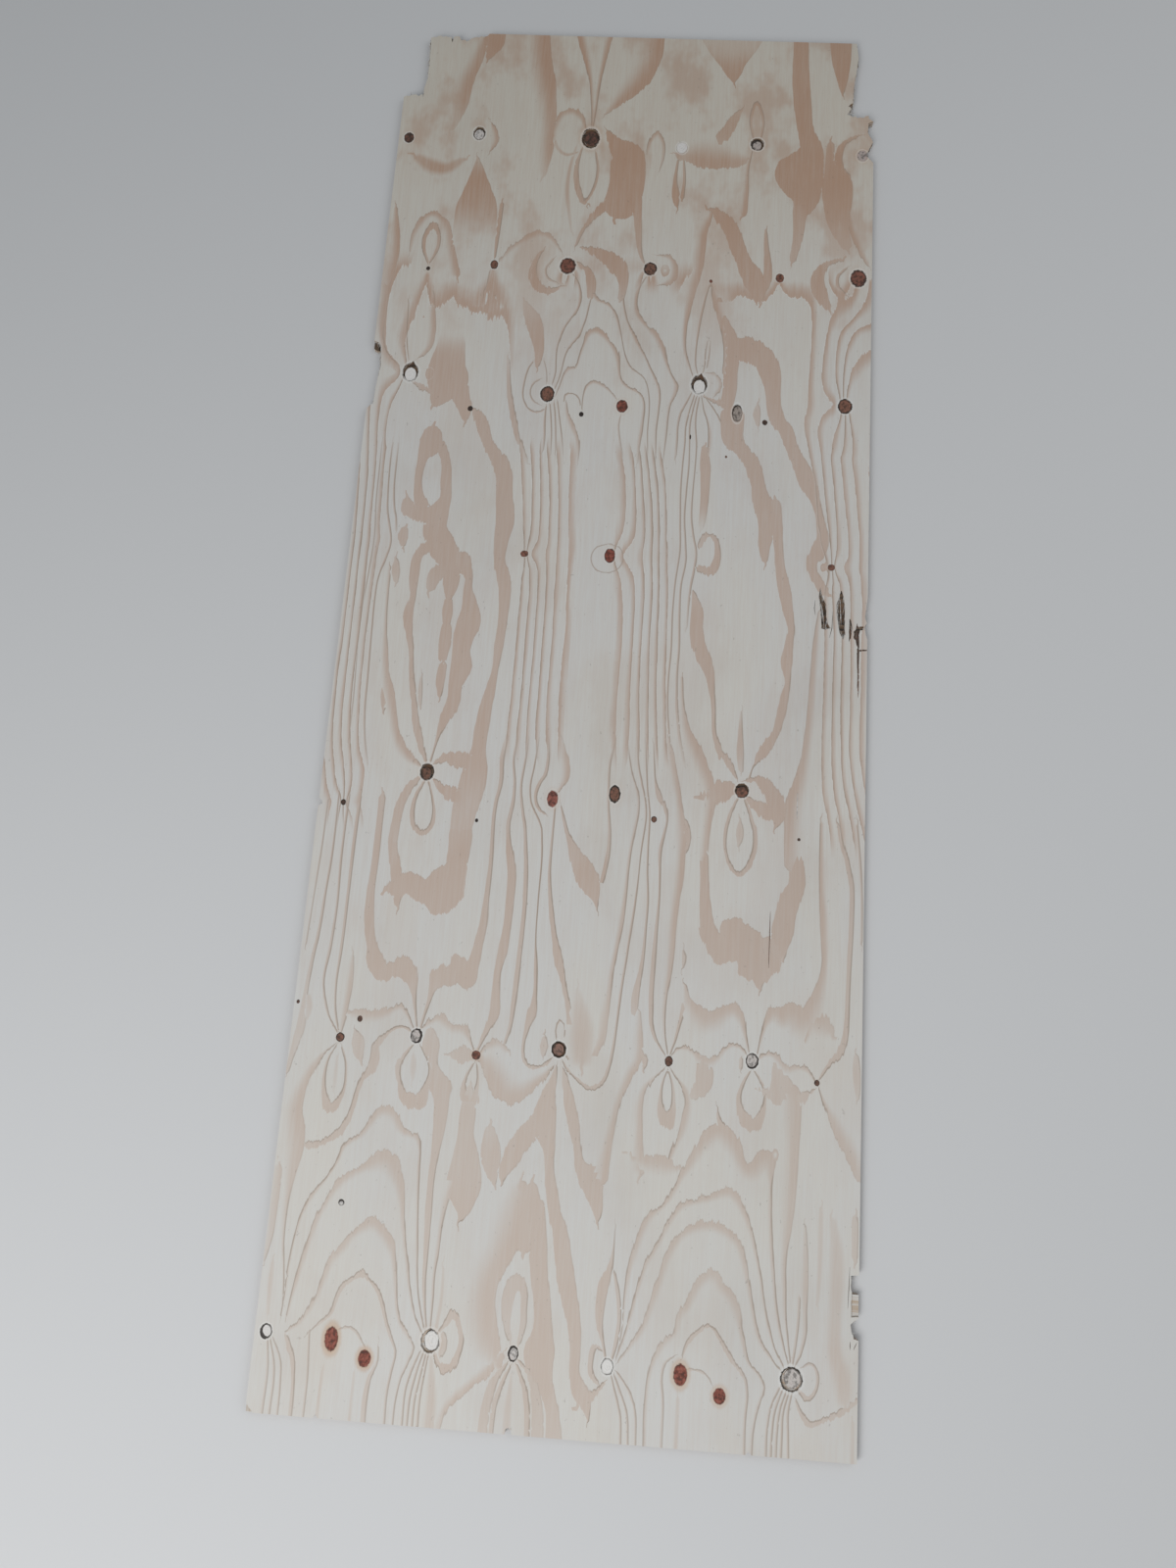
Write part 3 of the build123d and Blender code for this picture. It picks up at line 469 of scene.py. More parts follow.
    streak(BOTH, (-430, -300, 1.5, 0.5), (-431, -380, 1.5, 0.6), (-434, -450, 1.5, 0.5), (-438, -540)),
    streak(SOFT, (-424, -618, 6, 0.5), (-420, -634, 8, 0.6), (-422, -650, 5, 0.5)),
    # between the hills, below the middle
    streak(BOTH, (-126, -175, 2, 0.2), (-130, -215, 2, 0.8), (-125, -255, 2.5), (-125, -290, 3),
        (-130, -325, 3.5), (-128, -345, 4, 0.9), (-124, -370, 6, 1), (-118, -400, 7), (-117, -450),
        (-119, -500), (-122, -530, 8), (-127, -555, 6), (-127, -600, 7), (-126, -625, 8), (-134, -645, 5),
        (-142, -665, 3, 0.9), (-149, -685, 1.5, 0.8)),
    streak(BOTH, (-108, -175, 1.5, 0.2), (-111, -222, 2, 0.8), (-114, -262), (-110, -292, 2.5),
        (-103, -325, 3), (-100, -350), (-95, -400, 3.5, 0.9), (-93, -450), (-95, -530, 4), (-98, -600),
        (-102, -650, 3, 0.8), (-108, -672, 3, 0.7)),
    streak(BOTH, (-91, -175, 1.5, 0.2), (-95, -225, 1.5, 0.9), (-99, -262), (-95, -288), (-85, -307),
        (-77, -322), (-73, -350, 1.4, 1), (-72, -450, 1.3), (-71, -510, 1.4), (-68, -545, 3),
        (-66, -600, 4), (-68, -622, 7), (-74, -645, 4, 0.9), (-78, -668, 2.5), (-76, -690, 3), (-68, -702),
        (-55, -703), (-42, -698), (-33, -689, 1.5)),
    streak(BOTH, (-76, -175, 2, 0.2), (-73, -212, 2.5, 0.8), (-76, -238, 3), (-86, -257, 3, 0.9),
        (-89, -277, 2.5), (-82, -296), (-73, -303, 2, 0.8)),
    streak(RIGHT, (-58, -170, 4, 0.2), (-50, -200, 8, 0.8), (-44, -225, 9, 0.9), (-45, -247, 7),
        (-52, -262, 4, 0.8)),
    streak(BOTH, (-56, -290, 1.5, 0.8), (-57, -350, 2), (-57, -400, 2.5, 0.9), (-53, -440, 3.5),
        (-47, -475, 4), (-42, -500, 4, 1), (-36, -525, 6), (-30, -547), (-23, -565, 4), (-17, -590, 4, 0.9),
        (-9, -620, 6), (-4, -650, 7, 0.8), (-2, -675, 5)),
    streak(BOTH, (-46, -290, 1.5, 0.7), (-38, -318, 3, 0.8), (-28, -345, 5, 0.9), (-15, -370, 11),
        (-2, -392, 18, 1), (8, -410), (16, -426, 12), (21, -440, 5), (23, -451, 2)),
    streak(BOTH, (36, -170, 1.5, 0.2), (29, -212, 2, 0.7), (29, -250), (31, -285), (35, -320, 2.5, 0.8),
        (36, -350, 3), (33, -380, 4, 0.9), (28, -408, 4, 1)),
    streak(SOFT, (2, -585, 8, 0.3), (8, -620, 20, 0.7), (12, -650, 26, 0.8), (14, -682, 22)),
    streak(RIGHT, (55, -170, 1.5, 0.2), (61, -208, 2, 0.7), (68, -235, 2, 0.8), (76, -258, 3), (79, -290),
        (74, -325, 3.5), (69, -365, 3.5, 0.9), (66, -420, 4), (63, -460, 5), (57, -505, 5, 1), (51, -550),
        (48, -590, 6, 0.9), (44, -625, 8), (40, -655), (29, -677), (14, -688, 7), (0, -689, 5),
        (-9, -682, 2, 0.8)),
    streak(BOTH, (72, -170, 1.2, 0.2), (76, -213, 1.5, 0.8), (83, -243), (90, -270), (93, -295),
        (91, -325, 1.5, 0.9), (88, -355, 1.4), (86, -400), (83, -440, 2), (78, -490), (73, -540),
        (68, -590), (65, -630), (62, -665, 2.5), (57, -695, 3), (50, -717), (40, -726), (28, -729),
        (15, -721, 2.5), (2, -711), (-8, -702, 2), (-14, -692, 1.5, 0.8)),
    streak(BOTH, (85, -170, 1.2, 0.2), (89, -215, 1.4, 0.8), (93, -255), (98, -287), (99, -350, 1.6, 0.9),
        (100, -390), (103, -430, 2), (102, -480), (100, -530, 3), (96, -560, 4), (92, -585, 6),
        (92, -610, 6, 0.8)),
    streak(BOTH, (98, -170, 1.5, 0.2), (102, -213, 1.5, 0.8), (105, -240, 2), (113, -264, 5),
        (123, -282, 4), (127, -300, 2), (124, -322, 2.5), (119, -350, 3, 0.9), (120, -390, 2),
        (121, -430, 1.8), (119, -480, 3, 0.8), (117, -540, 4, 0.9), (117, -600), (121, -635, 3),
        (131, -655, 2), (142, -670, 1.5, 0.8)),
    streak(RIGHT, (118, -155, 3, 0.2), (127, -195, 7, 0.8), (136, -235, 7, 0.9), (146, -285),
        (150, -325, 10), (150, -360, 9, 1), (149, -400), (146, -430, 8), (143, -470), (143, -510, 7),
        (141, -545, 6), (138, -580, 4, 0.9), (138, -620, 3), (142, -650, 2), (146, -668, 1.5, 0.8)),
    streak(BOTH, (157, -302, 3, 0.8), (162, -325, 6, 0.9), (160, -352, 3, 0.8)),
    streak(BOTH, (164, -510, 2, 0.6), (165, -522, 4, 0.7), (164, -535, 2, 0.6)),
    # below the right hill's top
    streak(BOTH, (189, -355, 7, 0.9), (191, -390, 7, 1), (194, -430, 9), (199, -465, 12), (207, -490, 14)),
    streak(BOTH, (196, -475, 11, 1), (210, -492, 16), (225, -506, 21), (240, -482, 30), (255, -488, 25),
        (270, -500, 32), (282, -518, 34), (291, -515, 28), (299, -500, 22, 0.9)),
    streak(BOTH, (280, -515, 22, 1), (283, -540, 14), (284, -559, 4)),
    streak(BOTH, (334, -355, 14, 1), (339, -378, 13), (339, -395, 14), (330, -415, 17), (322, -442, 16),
        (318, -472, 17), (316, -496, 12), (320, -512, 4, 0.9)),
    streak(RIGHT, (168, -565, 4, 0.8), (174, -592, 10, 0.9), (186, -606, 17, 1), (200, -621, 20),
        (215, -618, 19), (232, -605, 15), (246, -599, 13), (256, -610, 8), (263, -630, 4),
        (271, -658, 2, 0.9)),
    streak(BOTH, (169, -592, 5, 0.8), (163, -622, 3, 0.9), (157, -648, 2), (151, -668, 1.5)),
    streak(LEFT, (377, -290, 4, 0.8), (378, -350, 5, 0.9), (380, -400, 6), (384, -440, 8, 1), (386, -480),
        (387, -515, 7), (384, -542, 9), (379, -565, 13), (372, -590, 20), (364, -615, 24)),
    streak(RIGHT, (285, -660, 1.5, 0.9), (291, -635, 3), (299, -612, 6, 1), (310, -600, 14),
        (320, -612, 12), (333, -603, 26), (348, -616, 24), (362, -610, 26), (376, -612),
        (388, -620, 16, 0.7)),
    streak(BOTH, (402, -290, 2, 0.7), (409, -325, 4, 0.8), (418, -355), (425, -390), (426, -440),
        (424, -500), (422, -560, 3.5), (421, -600, 4, 0.9), (418, -630, 5), (410, -652), (398, -664, 4),
        (388, -679, 2.5), (381, -690, 1.5, 0.8)),
    streak(BOTH, (432, -290, 2, 0.7), (437, -340), (441, -400, 2, 0.6), (442, -480, 2, 0.5)),
    # the row above the arches, from left to right
    streak(BOTH, (-371, -692, 1.5, 0.7), (-381, -712, 2, 0.8), (-384, -735, 2.5, 0.9), (-382, -760, 4),
        (-370, -786, 9, 1), (-358, -775, 5), (-351, -755, 2.5, 0.9), (-351, -730, 2, 0.8), (-354, -710),
        (-361, -694, 1.5, 0.7)),
    streak(SOFT, (-367, -708, 3, 0.4), (-367, -735, 5, 0.5), (-367, -760, 3, 0.3)),
    streak(RIGHT, (-374, -690, 2, 0.7), (-385, -699, 2.5, 0.8), (-396, -710, 4), (-406, -726, 8, 0.9),
        (-415, -745, 10), (-424, -770, 13, 1), (-428, -795, 16), (-424, -820, 20), (-420, -850, 17, 0.9),
        (-421, -880, 11, 0.8), (-421, -905, 7), (-421, -950, 4, 0.7), (-419, -985, 3), (-414, -1015, 2.5),
        (-410, -1045, 2), (-408, -1080)),
    streak(BOTH, (-404, -842, 5, 0.8), (-386, -841, 5, 0.9), (-368, -832), (-352, -820), (-341, -803, 4),
        (-334, -780), (-328, -750), (-321, -732, 5), (-311, -720, 7), (-308, -702), (-310, -688, 5, 0.8),
        (-300, -676, 4), (-289, -664, 3, 0.9), (-275, -656, 2.5), (-263, -657), (-254, -663, 1.5, 0.8)),
    streak(BOTH, (-343, -667, 3, 0.7), (-338, -680, 11), (-335, -695, 10), (-331, -709, 5, 0.8)),
    streak(BOTH, (-251, -683, 1.5, 0.8), (-262, -698, 3), (-270, -714, 5), (-266, -738, 4, 0.9),
        (-258, -760, 8, 1), (-244, -766, 12), (-232, -765), (-225, -745, 5, 0.9), (-219, -722, 3, 0.8),
        (-226, -700, 2), (-237, -684, 1.5)),
    streak(SOFT, (-247, -700, 5, 0.5), (-246, -720, 7, 0.6), (-246, -732, 4, 0.4)),
    streak(BOTH, (-224, -662, 8, 0.7), (-222, -680, 14, 0.8), (-219, -698, 9), (-215, -712, 6),
        (-208, -728, 13, 0.9), (-202, -740, 18), (-198, -758, 13), (-197, -785, 11), (-198, -810, 9),
        (-200, -840, 6), (-202, -870, 5), (-202, -937, 5, 0.8), (-200, -990, 3.5), (-199, -1025, 3),
        (-194, -1062, 2), (-190, -1085, 1.5, 0.7)),
    streak(BOTH, (-186, -692, 6, 0.7), (-174, -692, 14, 0.8), (-162, -692, 8)),
    streak(RIGHT, (-143, -687, 2, 0.8), (-131, -677, 6), (-116, -672, 8), (-105, -680, 6, 0.7)),
    streak(BOTH, (-154, -705, 1.5, 0.8), (-162, -722, 2), (-166, -742, 4, 0.9), (-160, -757, 9),
        (-152, -760, 12), (-146, -748, 5, 0.8), (-144, -728, 2), (-147, -706, 1.5)),
    streak(BOTH, (-46, -659, 4, 0.7), (-46, -670, 7, 0.8), (-46, -682, 4, 0.7)),
    streak(BOTH, (-27, -656, 1.2, 0.8), (-29, -642), (-24, -629, 1.4), (-18, -632), (-15, -652, 1.2)),
    streak(LEFT, (-146, -694, 4, 0.9), (-128, -700, 17), (-110, -718, 22, 1), (-92, -738, 24),
        (-76, -736, 18), (-58, -725, 11), (-42, -712, 6), (-31, -701, 3, 0.9)),
    streak(RIGHT, (142, -692, 2, 0.8), (128, -705, 3), (112, -722, 6), (106, -745, 7, 0.9), (106, -780, 8),
        (108, -815, 9), (110, -842, 12, 0.8)),
    streak(RIGHT, (106, -828, 10, 0.8), (122, -835, 14, 0.9), (138, -836, 17), (152, -837),
        (165, -838, 9, 0.8)),
    streak(BOTH, (147, -695, 1.2, 0.8), (141, -712, 2), (139, -735, 3, 0.9), (142, -757, 7, 1),
        (150, -768, 12), (158, -757, 6), (159, -735, 3, 0.8), (156, -713, 2), (150, -696, 1.2)),
    streak(LEFT, (154, -693, 1.5, 0.8), (166, -707, 2.5, 0.9), (179, -722, 5), (183, -740, 6),
        (181, -762, 8), (175, -785, 7), (166, -805, 5), (160, -822, 4)),
    streak(RIGHT, (154, -670, 2, 0.8), (163, -661, 3, 0.9), (173, -659, 4), (184, -663, 5), (195, -675, 7),
        (210, -680, 8), (222, -673, 7), (232, -660, 5), (242, -652, 4), (252, -650), (262, -656, 3),
        (269, -664, 1.5, 0.8)),
    streak(BOTH, (200, -675, 8, 0.8), (205, -695, 14), (203, -712, 13), (195, -722, 11),
        (187, -731, 6, 0.6)),
    streak(BOTH, (260, -670, 3, 0.7), (260, -682)),
    streak(RIGHT, (287, -669, 2, 0.8), (297, -661, 4, 0.9), (307, -660, 5), (318, -670, 6), (330, -682, 9),
        (344, -678, 6), (357, -677, 5), (367, -686, 4), (373, -694, 2, 0.8)),
    streak(BOTH, (316, -680, 9, 0.7), (322, -700, 17, 0.8), (325, -715, 22)),
    streak(BOTH, (300, -716, 7, 0.7), (320, -722, 12, 0.8), (345, -722), (362, -716, 6),
        (373, -707, 2, 0.7)),
    streak(RIGHT, (335, -720, 20, 0.9), (338, -750, 17), (339, -790, 14), (339, -830, 12),
        (337, -880, 11, 0.8), (335, -910, 9), (333, -940, 6), (333, -970, 5), (335, -1000, 4),
        (337, -1030, 3), (341, -1060, 2.5), (346, -1092, 1.5)),
    streak(BOTH, (274, -688, 1.5, 0.8), (264, -705, 2.5, 0.9), (259, -722, 3.5), (260, -742, 5),
        (270, -759, 9, 1), (281, -766, 11), (292, -755, 8), (298, -735, 3, 0.9), (298, -715, 2.5),
        (290, -698, 2, 0.8), (282, -687, 1.5)),
    streak(LEFT, (381, -706, 1.5, 0.8), (391, -728, 4, 0.9), (405, -750, 10), (416, -768, 13),
        (428, -785, 14), (438, -805, 13), (446, -828, 10, 0.8)),
    streak(BOTH, (436, -655, 4, 0.6), (438, -685, 6, 0.7), (439, -712, 4, 0.5)),
    # the left arches, each clockwise from its left foot
    streak(RIGHT, (-408, -1085, 1.5, 0.7), (-406, -1060, 2), (-405, -1020, 2.5), (-402, -985, 2.5, 0.8),
        (-398, -960, 3), (-393, -940), (-384, -920, 4), (-372, -902), (-360, -884, 3, 0.9), (-347, -860),
        (-340, -840, 4), (-328, -830, 5), (-316, -822, 6), (-307, -810), (-299, -798), (-290, -787, 9),
        (-278, -785, 10), (-268, -794, 9), (-257, -811, 7), (-245, -817, 6), (-233, -818), (-226, -832, 3),
        (-224, -865), (-221, -909, 2.5), (-218, -946, 2.5, 0.8), (-215, -977), (-212, -1009),
        (-207, -1040, 2), (-201, -1065), (-194, -1086, 1.5)),
    streak(RIGHT, (-399, -1085, 2, 0.6), (-395, -1060, 3, 0.7), (-390, -1037, 4, 0.8), (-383, -1005, 5),
        (-375, -970), (-366, -940, 6), (-355, -917), (-345, -901, 7), (-335, -889, 8, 0.9), (-321, -879),
        (-308, -871), (-296, -866, 12), (-283, -860, 18), (-272, -862, 20), (-262, -875, 14),
        (-253, -890, 10), (-247, -908, 7), (-242, -935, 5, 0.8), (-236, -965, 4), (-230, -992),
        (-223, -1025, 3), (-215, -1055), (-205, -1080, 2.5), (-196, -1094, 1.5, 0.7)),
    streak(RIGHT, (-398, -1108, 2, 0.6), (-380, -1095, 4, 0.7), (-366, -1075, 5), (-356, -1052, 5, 0.8),
        (-346, -1022, 6), (-338, -1000, 8), (-324, -985), (-313, -968, 6), (-300, -957, 9, 0.9),
        (-285, -950, 11), (-270, -962, 9), (-258, -975), (-251, -992, 6, 0.8), (-244, -1022, 4),
        (-239, -1055, 3.5), (-230, -1083, 4), (-217, -1100, 4, 0.7), (-207, -1114, 3), (-212, -1132),
        (-221, -1155, 2.5), (-226, -1185, 2), (-227, -1225, 2, 0.6)),
    streak(BOTH, (-366, -1108, 1.5, 0.5), (-350, -1092, 2, 0.6), (-334, -1077, 3, 0.7), (-328, -1055),
        (-321, -1038), (-306, -1027), (-293, -1018, 5, 0.8), (-282, -1027, 3), (-270, -1037), (-260, -1055),
        (-250, -1083, 2.5), (-240, -1105, 2.5, 0.7), (-232, -1122, 2), (-235, -1145), (-239, -1175),
        (-239, -1225, 2, 0.6)),
    streak(BOTH, (-363, -1104, 1.5, 0.6), (-361, -1135, 2), (-359, -1165), (-359, -1225, 2, 0.5)),
    streak(BOTH, (-318, -1098, 1.5, 0.5), (-306, -1094, 2, 0.6), (-294, -1099), (-285, -1110),
        (-279, -1118, 1.5, 0.5)),
    streak(SOFT, (-337, -1150, 3, 0.5), (-338, -1185, 4, 0.6), (-338, -1225, 4, 0.5)),
    streak(SOFT, (-290, -1155, 3, 0.5), (-290, -1225, 4, 0.6)),
    streak(BOTH, (-258, -1118, 1.5, 0.5), (-258, -1140, 2, 0.6), (-266, -1158, 3, 0.7), (-270, -1180, 4),
        (-270, -1225, 4, 0.6)),
    streak(BOTH, (-398, -1110, 2, 0.6), (-392, -1125, 4, 0.8), (-384, -1142), (-380, -1165, 3),
        (-378, -1195, 3, 0.7), (-378, -1225, 3, 0.6)),
    streak(BOTH, (-424, -1122, 1.5, 0.6), (-420, -1150, 2), (-420, -1225)),
    streak(BOTH, (-420, -1120, 1.5, 0.6), (-411, -1150, 1.8), (-409, -1225)),
    streak(BOTH, (-416, -1118, 1.5, 0.5), (-402, -1145, 1.8, 0.6), (-398, -1180), (-397, -1225, 1.8, 0.5)),
    streak(RIGHT, (-441, -880, 9, 0.7), (-440, -930, 8), (-441, -980, 6), (-444, -1010, 3, 0.5)),
    streak(SOFT, (-430, -1010, 4, 0.5), (-430, -1040, 6, 0.6), (-428, -1085, 3, 0.5)),
    streak(RIGHT, (-172, -880, 8, 0.7), (-178, -905, 6, 0.8), (-182, -940, 4), (-184, -980),
        (-186, -1010, 3), (-185, -1050), (-184, -1087, 1.5)),
    streak(SOFT, (-172, -1000, 3, 0.4), (-171, -1050, 4, 0.6), (-175, -1088)),
    streak(BOTH, (-164, -1094, 4, 0.6), (-162, -1108, 6, 0.8), (-165, -1121, 4, 0.6)),
    streak(BOTH, (-196, -1120, 1.2, 0.7), (-204, -1140, 1.8), (-211, -1165), (-213, -1225, 2, 0.6)),
    streak(BOTH, (-191, -1121, 1.2, 0.7), (-198, -1145, 1.8), (-204, -1175), (-206, -1225, 2, 0.6)),
    streak(BOTH, (-187, -1122, 1.2, 0.7), (-192, -1150, 1.8), (-197, -1180), (-198, -1225, 2, 0.6)),
    streak(BOTH, (-183, -1122, 1.2, 0.7), (-187, -1150, 1.8), (-190, -1180), (-190, -1225, 2, 0.6)),
    streak(SOFT, (-178, -1130, 4, 0.5), (-174, -1165, 9, 0.7), (-172, -1225, 12)),
    # the right arches, each clockwise from its left foot
    streak(RIGHT, (96, -1100, 1.5, 0.6), (101, -1060, 2), (102, -1020, 3, 0.7), (108, -982, 5, 0.8),
        (115, -955, 6), (124, -928, 7, 0.9), (134, -908), (146, -897, 5), (158, -885), (168, -868),
        (178, -848, 6), (190, -832, 8), (202, -812, 11), (215, -795, 14, 1), (230, -783, 16),
        (244, -793, 17), (256, -808, 13), (266, -828, 10), (278, -838, 15), (292, -828, 18),
        (303, -815, 16), (309, -840, 5, 0.9), (310, -880, 4, 0.8), (312, -920), (315, -955),
        (320, -995, 3.5), (325, -1030, 3), (333, -1065, 2.5), (343, -1094, 1.5)),
    streak(BOTH, (227, -747, 1.5, 0.8), (229, -760, 3, 0.9), (236, -772, 5, 1)),
    streak(RIGHT, (94, -1106, 1.5, 0.6), (106, -1072, 3, 0.7), (115, -1035, 4, 0.8), (122, -1005),
        (133, -972, 5), (147, -947), (160, -920), (170, -903), (180, -891, 6, 0.9), (193, -885),
        (208, -881), (224, -876, 7), (238, -870, 8), (250, -868, 9), (261, -877, 8), (271, -893, 6),
        (280, -912, 5, 0.8), (290, -945, 4), (299, -980, 3), (306, -1020), (315, -1055, 2.5),
        (326, -1083, 2), (337, -1100, 1.5)),
    streak(RIGHT, (98, -1110, 2, 0.6), (112, -1092, 4), (125, -1075, 5, 0.7), (137, -1050, 6),
        (146, -1020, 7, 0.8), (155, -990), (164, -962), (175, -942), (189, -927), (203, -920, 9, 0.9),
        (218, -917), (235, -919), (250, -926), (262, -935, 8), (271, -955, 6, 0.8), (279, -985, 5),
        (286, -1015, 4), (293, -1045), (303, -1072, 3.5), (318, -1090, 2.5), (331, -1104, 1.5)),
    streak(RIGHT, (142, -1225, 4, 0.6), (141, -1160, 4, 0.7), (143, -1130), (150, -1105, 5),
        (162, -1083, 6), (178, -1068, 5), (184, -1045, 7), (196, -1030, 7, 0.8), (205, -1010, 8),
        (216, -993, 9), (230, -985, 10), (240, -1000, 9), (252, -1008, 10, 0.9), (262, -1025, 9, 0.8),
        (270, -1050, 5), (278, -1078, 4), (286, -1100, 3), (300, -1112), (309, -1130, 3, 0.7), (301, -1155),
        (295, -1185), (293, -1225, 3, 0.6)),
    streak(BOTH, (190, -1096, 1.5, 0.6), (196, -1078, 2.5, 0.7), (209, -1064, 3), (228, -1052, 3, 0.8),
        (240, -1064), (252, -1082), (266, -1101, 3, 0.7), (281, -1118, 2.5), (286, -1140, 2), (284, -1170),
        (284, -1225, 2, 0.6)),
    streak(BOTH, (178, -1098, 1.5, 0.5), (166, -1106, 2, 0.6), (161, -1125), (164, -1155),
        (165, -1225, 2, 0.5)),
    streak(BOTH, (199, -1114, 1.5, 0.5), (214, -1114, 2, 0.6), (226, -1119), (234, -1130, 1.5, 0.5)),
    streak(SOFT, (186, -1155, 4, 0.5), (186, -1225, 5, 0.6)),
    streak(RIGHT, (363, -905, 3, 0.4), (364, -950, 6, 0.7), (364, -990, 7, 0.8), (366, -1025, 4),
        (366, -1055), (360, -1080, 3), (353, -1098, 1.5, 0.7)),
    streak(BOTH, (358, -1000, 2, 0.5), (357, -1035, 2, 0.7), (354, -1065), (350, -1095, 1.5)),
    streak(SOFT, (387, -880, 5, 0.5), (387, -950, 6), (385, -1010, 4, 0.4)),
    streak(SOFT, (405, -895, 8, 0.4), (412, -940, 14, 0.6), (412, -990, 16), (410, -1040, 14),
        (412, -1080, 16, 0.7), (422, -1110, 20), (425, -1135, 16, 0.6)),
    streak(BOTH, (356, -1143, 1.5, 0.6), (364, -1160, 3, 0.8), (378, -1174, 4), (392, -1168), (410, -1160),
        (428, -1150), (441, -1137, 4, 0.7)),
    streak(BOTH, (438, -890, 5, 0.6), (438, -945)),
    streak(SOFT, (438, -1165, 4, 0.5), (438, -1225, 5, 0.6)),
    streak(BOTH, (366, -1098, 1.5, 0.6), (376, -1092, 2, 0.7), (385, -1101, 2.5), (387, -1117),
        (382, -1133, 3, 0.8), (373, -1141), (364, -1134, 2.5), (358, -1126, 1.5, 0.7)),
    streak(BOTH, (332, -1128, 1.2, 0.7), (321, -1152, 1.8), (316, -1182), (315, -1225, 2, 0.6)),
    streak(BOTH, (336, -1132, 1.2, 0.7), (327, -1155, 1.8), (323, -1184), (322, -1225, 2, 0.6)),
    streak(BOTH, (341, -1134, 1.2, 0.7), (333, -1158, 1.8), (330, -1187), (329, -1225, 2, 0.6)),
    streak(BOTH, (345, -1135, 1.2, 0.7), (338, -1160, 1.8), (337, -1190), (336, -1225, 2, 0.6)),
    streak(BOTH, (350, -1135, 1.2, 0.7), (345, -1160, 1.8), (346, -1190), (347, -1225, 2, 0.6)),
    streak(BOTH, (92, -1130, 1.2, 0.7), (100, -1148, 1.8), (111, -1172), (117, -1225, 2, 0.6)),
    streak(BOTH, (88, -1132, 1.2, 0.7), (94, -1152, 1.8), (103, -1180), (106, -1225, 2, 0.6)),
    streak(BOTH, (96, -1126, 1.2, 0.7), (110, -1142, 1.8), (122, -1165), (128, -1225, 2, 0.6)),
    # the flames between the arches
    streak(BOTH, (-156, -742, 6, 0.5), (-155, -770, 12, 0.8), (-156, -810, 13), (-152, -850, 22),
        (-152, -890, 26, 0.9), (-150, -915, 14, 1), (-153, -932, 4)),
    streak(BOTH, (-118, -803, 9, 0.7), (-115, -830, 16, 0.9), (-112, -852, 14), (-107, -875, 5)),
    streak(BOTH, (-40, -775, 14, 1), (-55, -795, 15), (-70, -815), (-84, -838, 14), (-93, -860, 9),
        (-95, -873, 4)),
    streak(BOTH, (-24, -700, 2, 0.8), (-27, -720, 6, 0.9), (-33, -745, 12, 1), (-37, -775, 18),
        (-34, -800, 15), (-26, -825, 8), (-24, -850, 7), (-19, -880, 9), (-13, -905, 10), (-3, -935, 11),
        (4, -965, 13), (12, -1000, 14), (19, -1030, 13), (28, -1062, 11), (33, -1100, 8), (34, -1135),
        (45, -1158, 12), (55, -1178, 6), (57, -1190, 2)),
    streak(BOTH, (50, -1168, 10, 1), (66, -1155, 5), (77, -1142, 3, 0.9)),
    streak(BOTH, (-13, -703, 2, 0.8), (-7, -725, 6, 0.9), (0, -750, 9, 1), (9, -785), (17, -820, 6),
        (24, -845, 10), (38, -858, 20), (45, -880, 14), (52, -900, 9), (54, -917, 4)),
    streak(RIGHT, (98, -610, 5, 0.5), (100, -650, 8, 0.9), (100, -680, 9, 1), (88, -702), (78, -728, 7),
        (70, -755, 6, 0.9), (64, -790, 8, 1), (58, -825, 11), (54, -855, 14)),
    streak(BOTH, (104, -670, 8, 0.9), (112, -680, 6), (112, -691, 4)),
    streak(RIGHT, (-70, -888, 20, 0.9), (-80, -930, 32, 1), (-95, -975, 27), (-112, -1010, 25, 0.9),
        (-117, -1050, 27), (-110, -1085, 28), (-96, -1110, 23), (-84, -1124, 12)),
    streak(BOTH, (-48, -880, 9, 0.9), (-50, -905, 20, 1), (-52, -930, 25), (-53, -958, 15)),
    streak(BOTH, (-38, -905, 12, 1), (-34, -950, 14), (-28, -1000, 13), (-20, -1040), (-17, -1080, 15),
        (-20, -1105, 23), (-18, -1130, 19), (-6, -1155, 12), (4, -1180, 10, 0.9), (10, -1225, 12, 0.8)),
    streak(BOTH, (-65, -1092, 4, 0.6), (-72, -1062, 8, 0.7), (-70, -1030, 10, 0.8), (-61, -1012, 11),
        (-51, -1022, 7), (-47, -1048, 5), (-46, -1075, 5, 0.7), (-51, -1096, 3, 0.6)),
    # the foot, from left to right
    streak(BOTH, (-171, -1092, 2, 0.7), (-160, -1076, 4, 0.8), (-151, -1063, 5, 0.9), (-142, -1076),
        (-136, -1095, 4), (-139, -1118), (-147, -1135, 6, 1), (-157, -1142), (-168, -1133, 4, 0.9),
        (-173, -1121, 2, 0.8)),
    streak(RIGHT, (-80, -1118, 10, 0.9), (-100, -1140, 9, 1), (-120, -1158, 8), (-140, -1176),
        (-153, -1192, 7, 0.9), (-162, -1225, 6, 0.6)),
    streak(BOTH, (-66, -1126, 2, 0.8), (-80, -1145, 5), (-90, -1175, 7), (-95, -1225, 8, 0.7)),
    streak(BOTH, (-61, -1130, 1.5, 0.8), (-71, -1152, 3), (-79, -1180, 4, 0.7), (-82, -1225)),
    streak(SOFT, (-58, -1140, 2, 0.4), (-60, -1175, 7, 0.6), (-60, -1225, 9)),
    streak(BOTH, (-51, -1128, 2, 0.8), (-40, -1152, 4, 0.9), (-32, -1185), (-29, -1225, 4, 0.8)),
    streak(BOTH, (-48, -1122, 2, 0.8), (-29, -1140, 5), (-20, -1165, 7), (-15, -1200, 9, 0.7),
        (-14, -1225)),
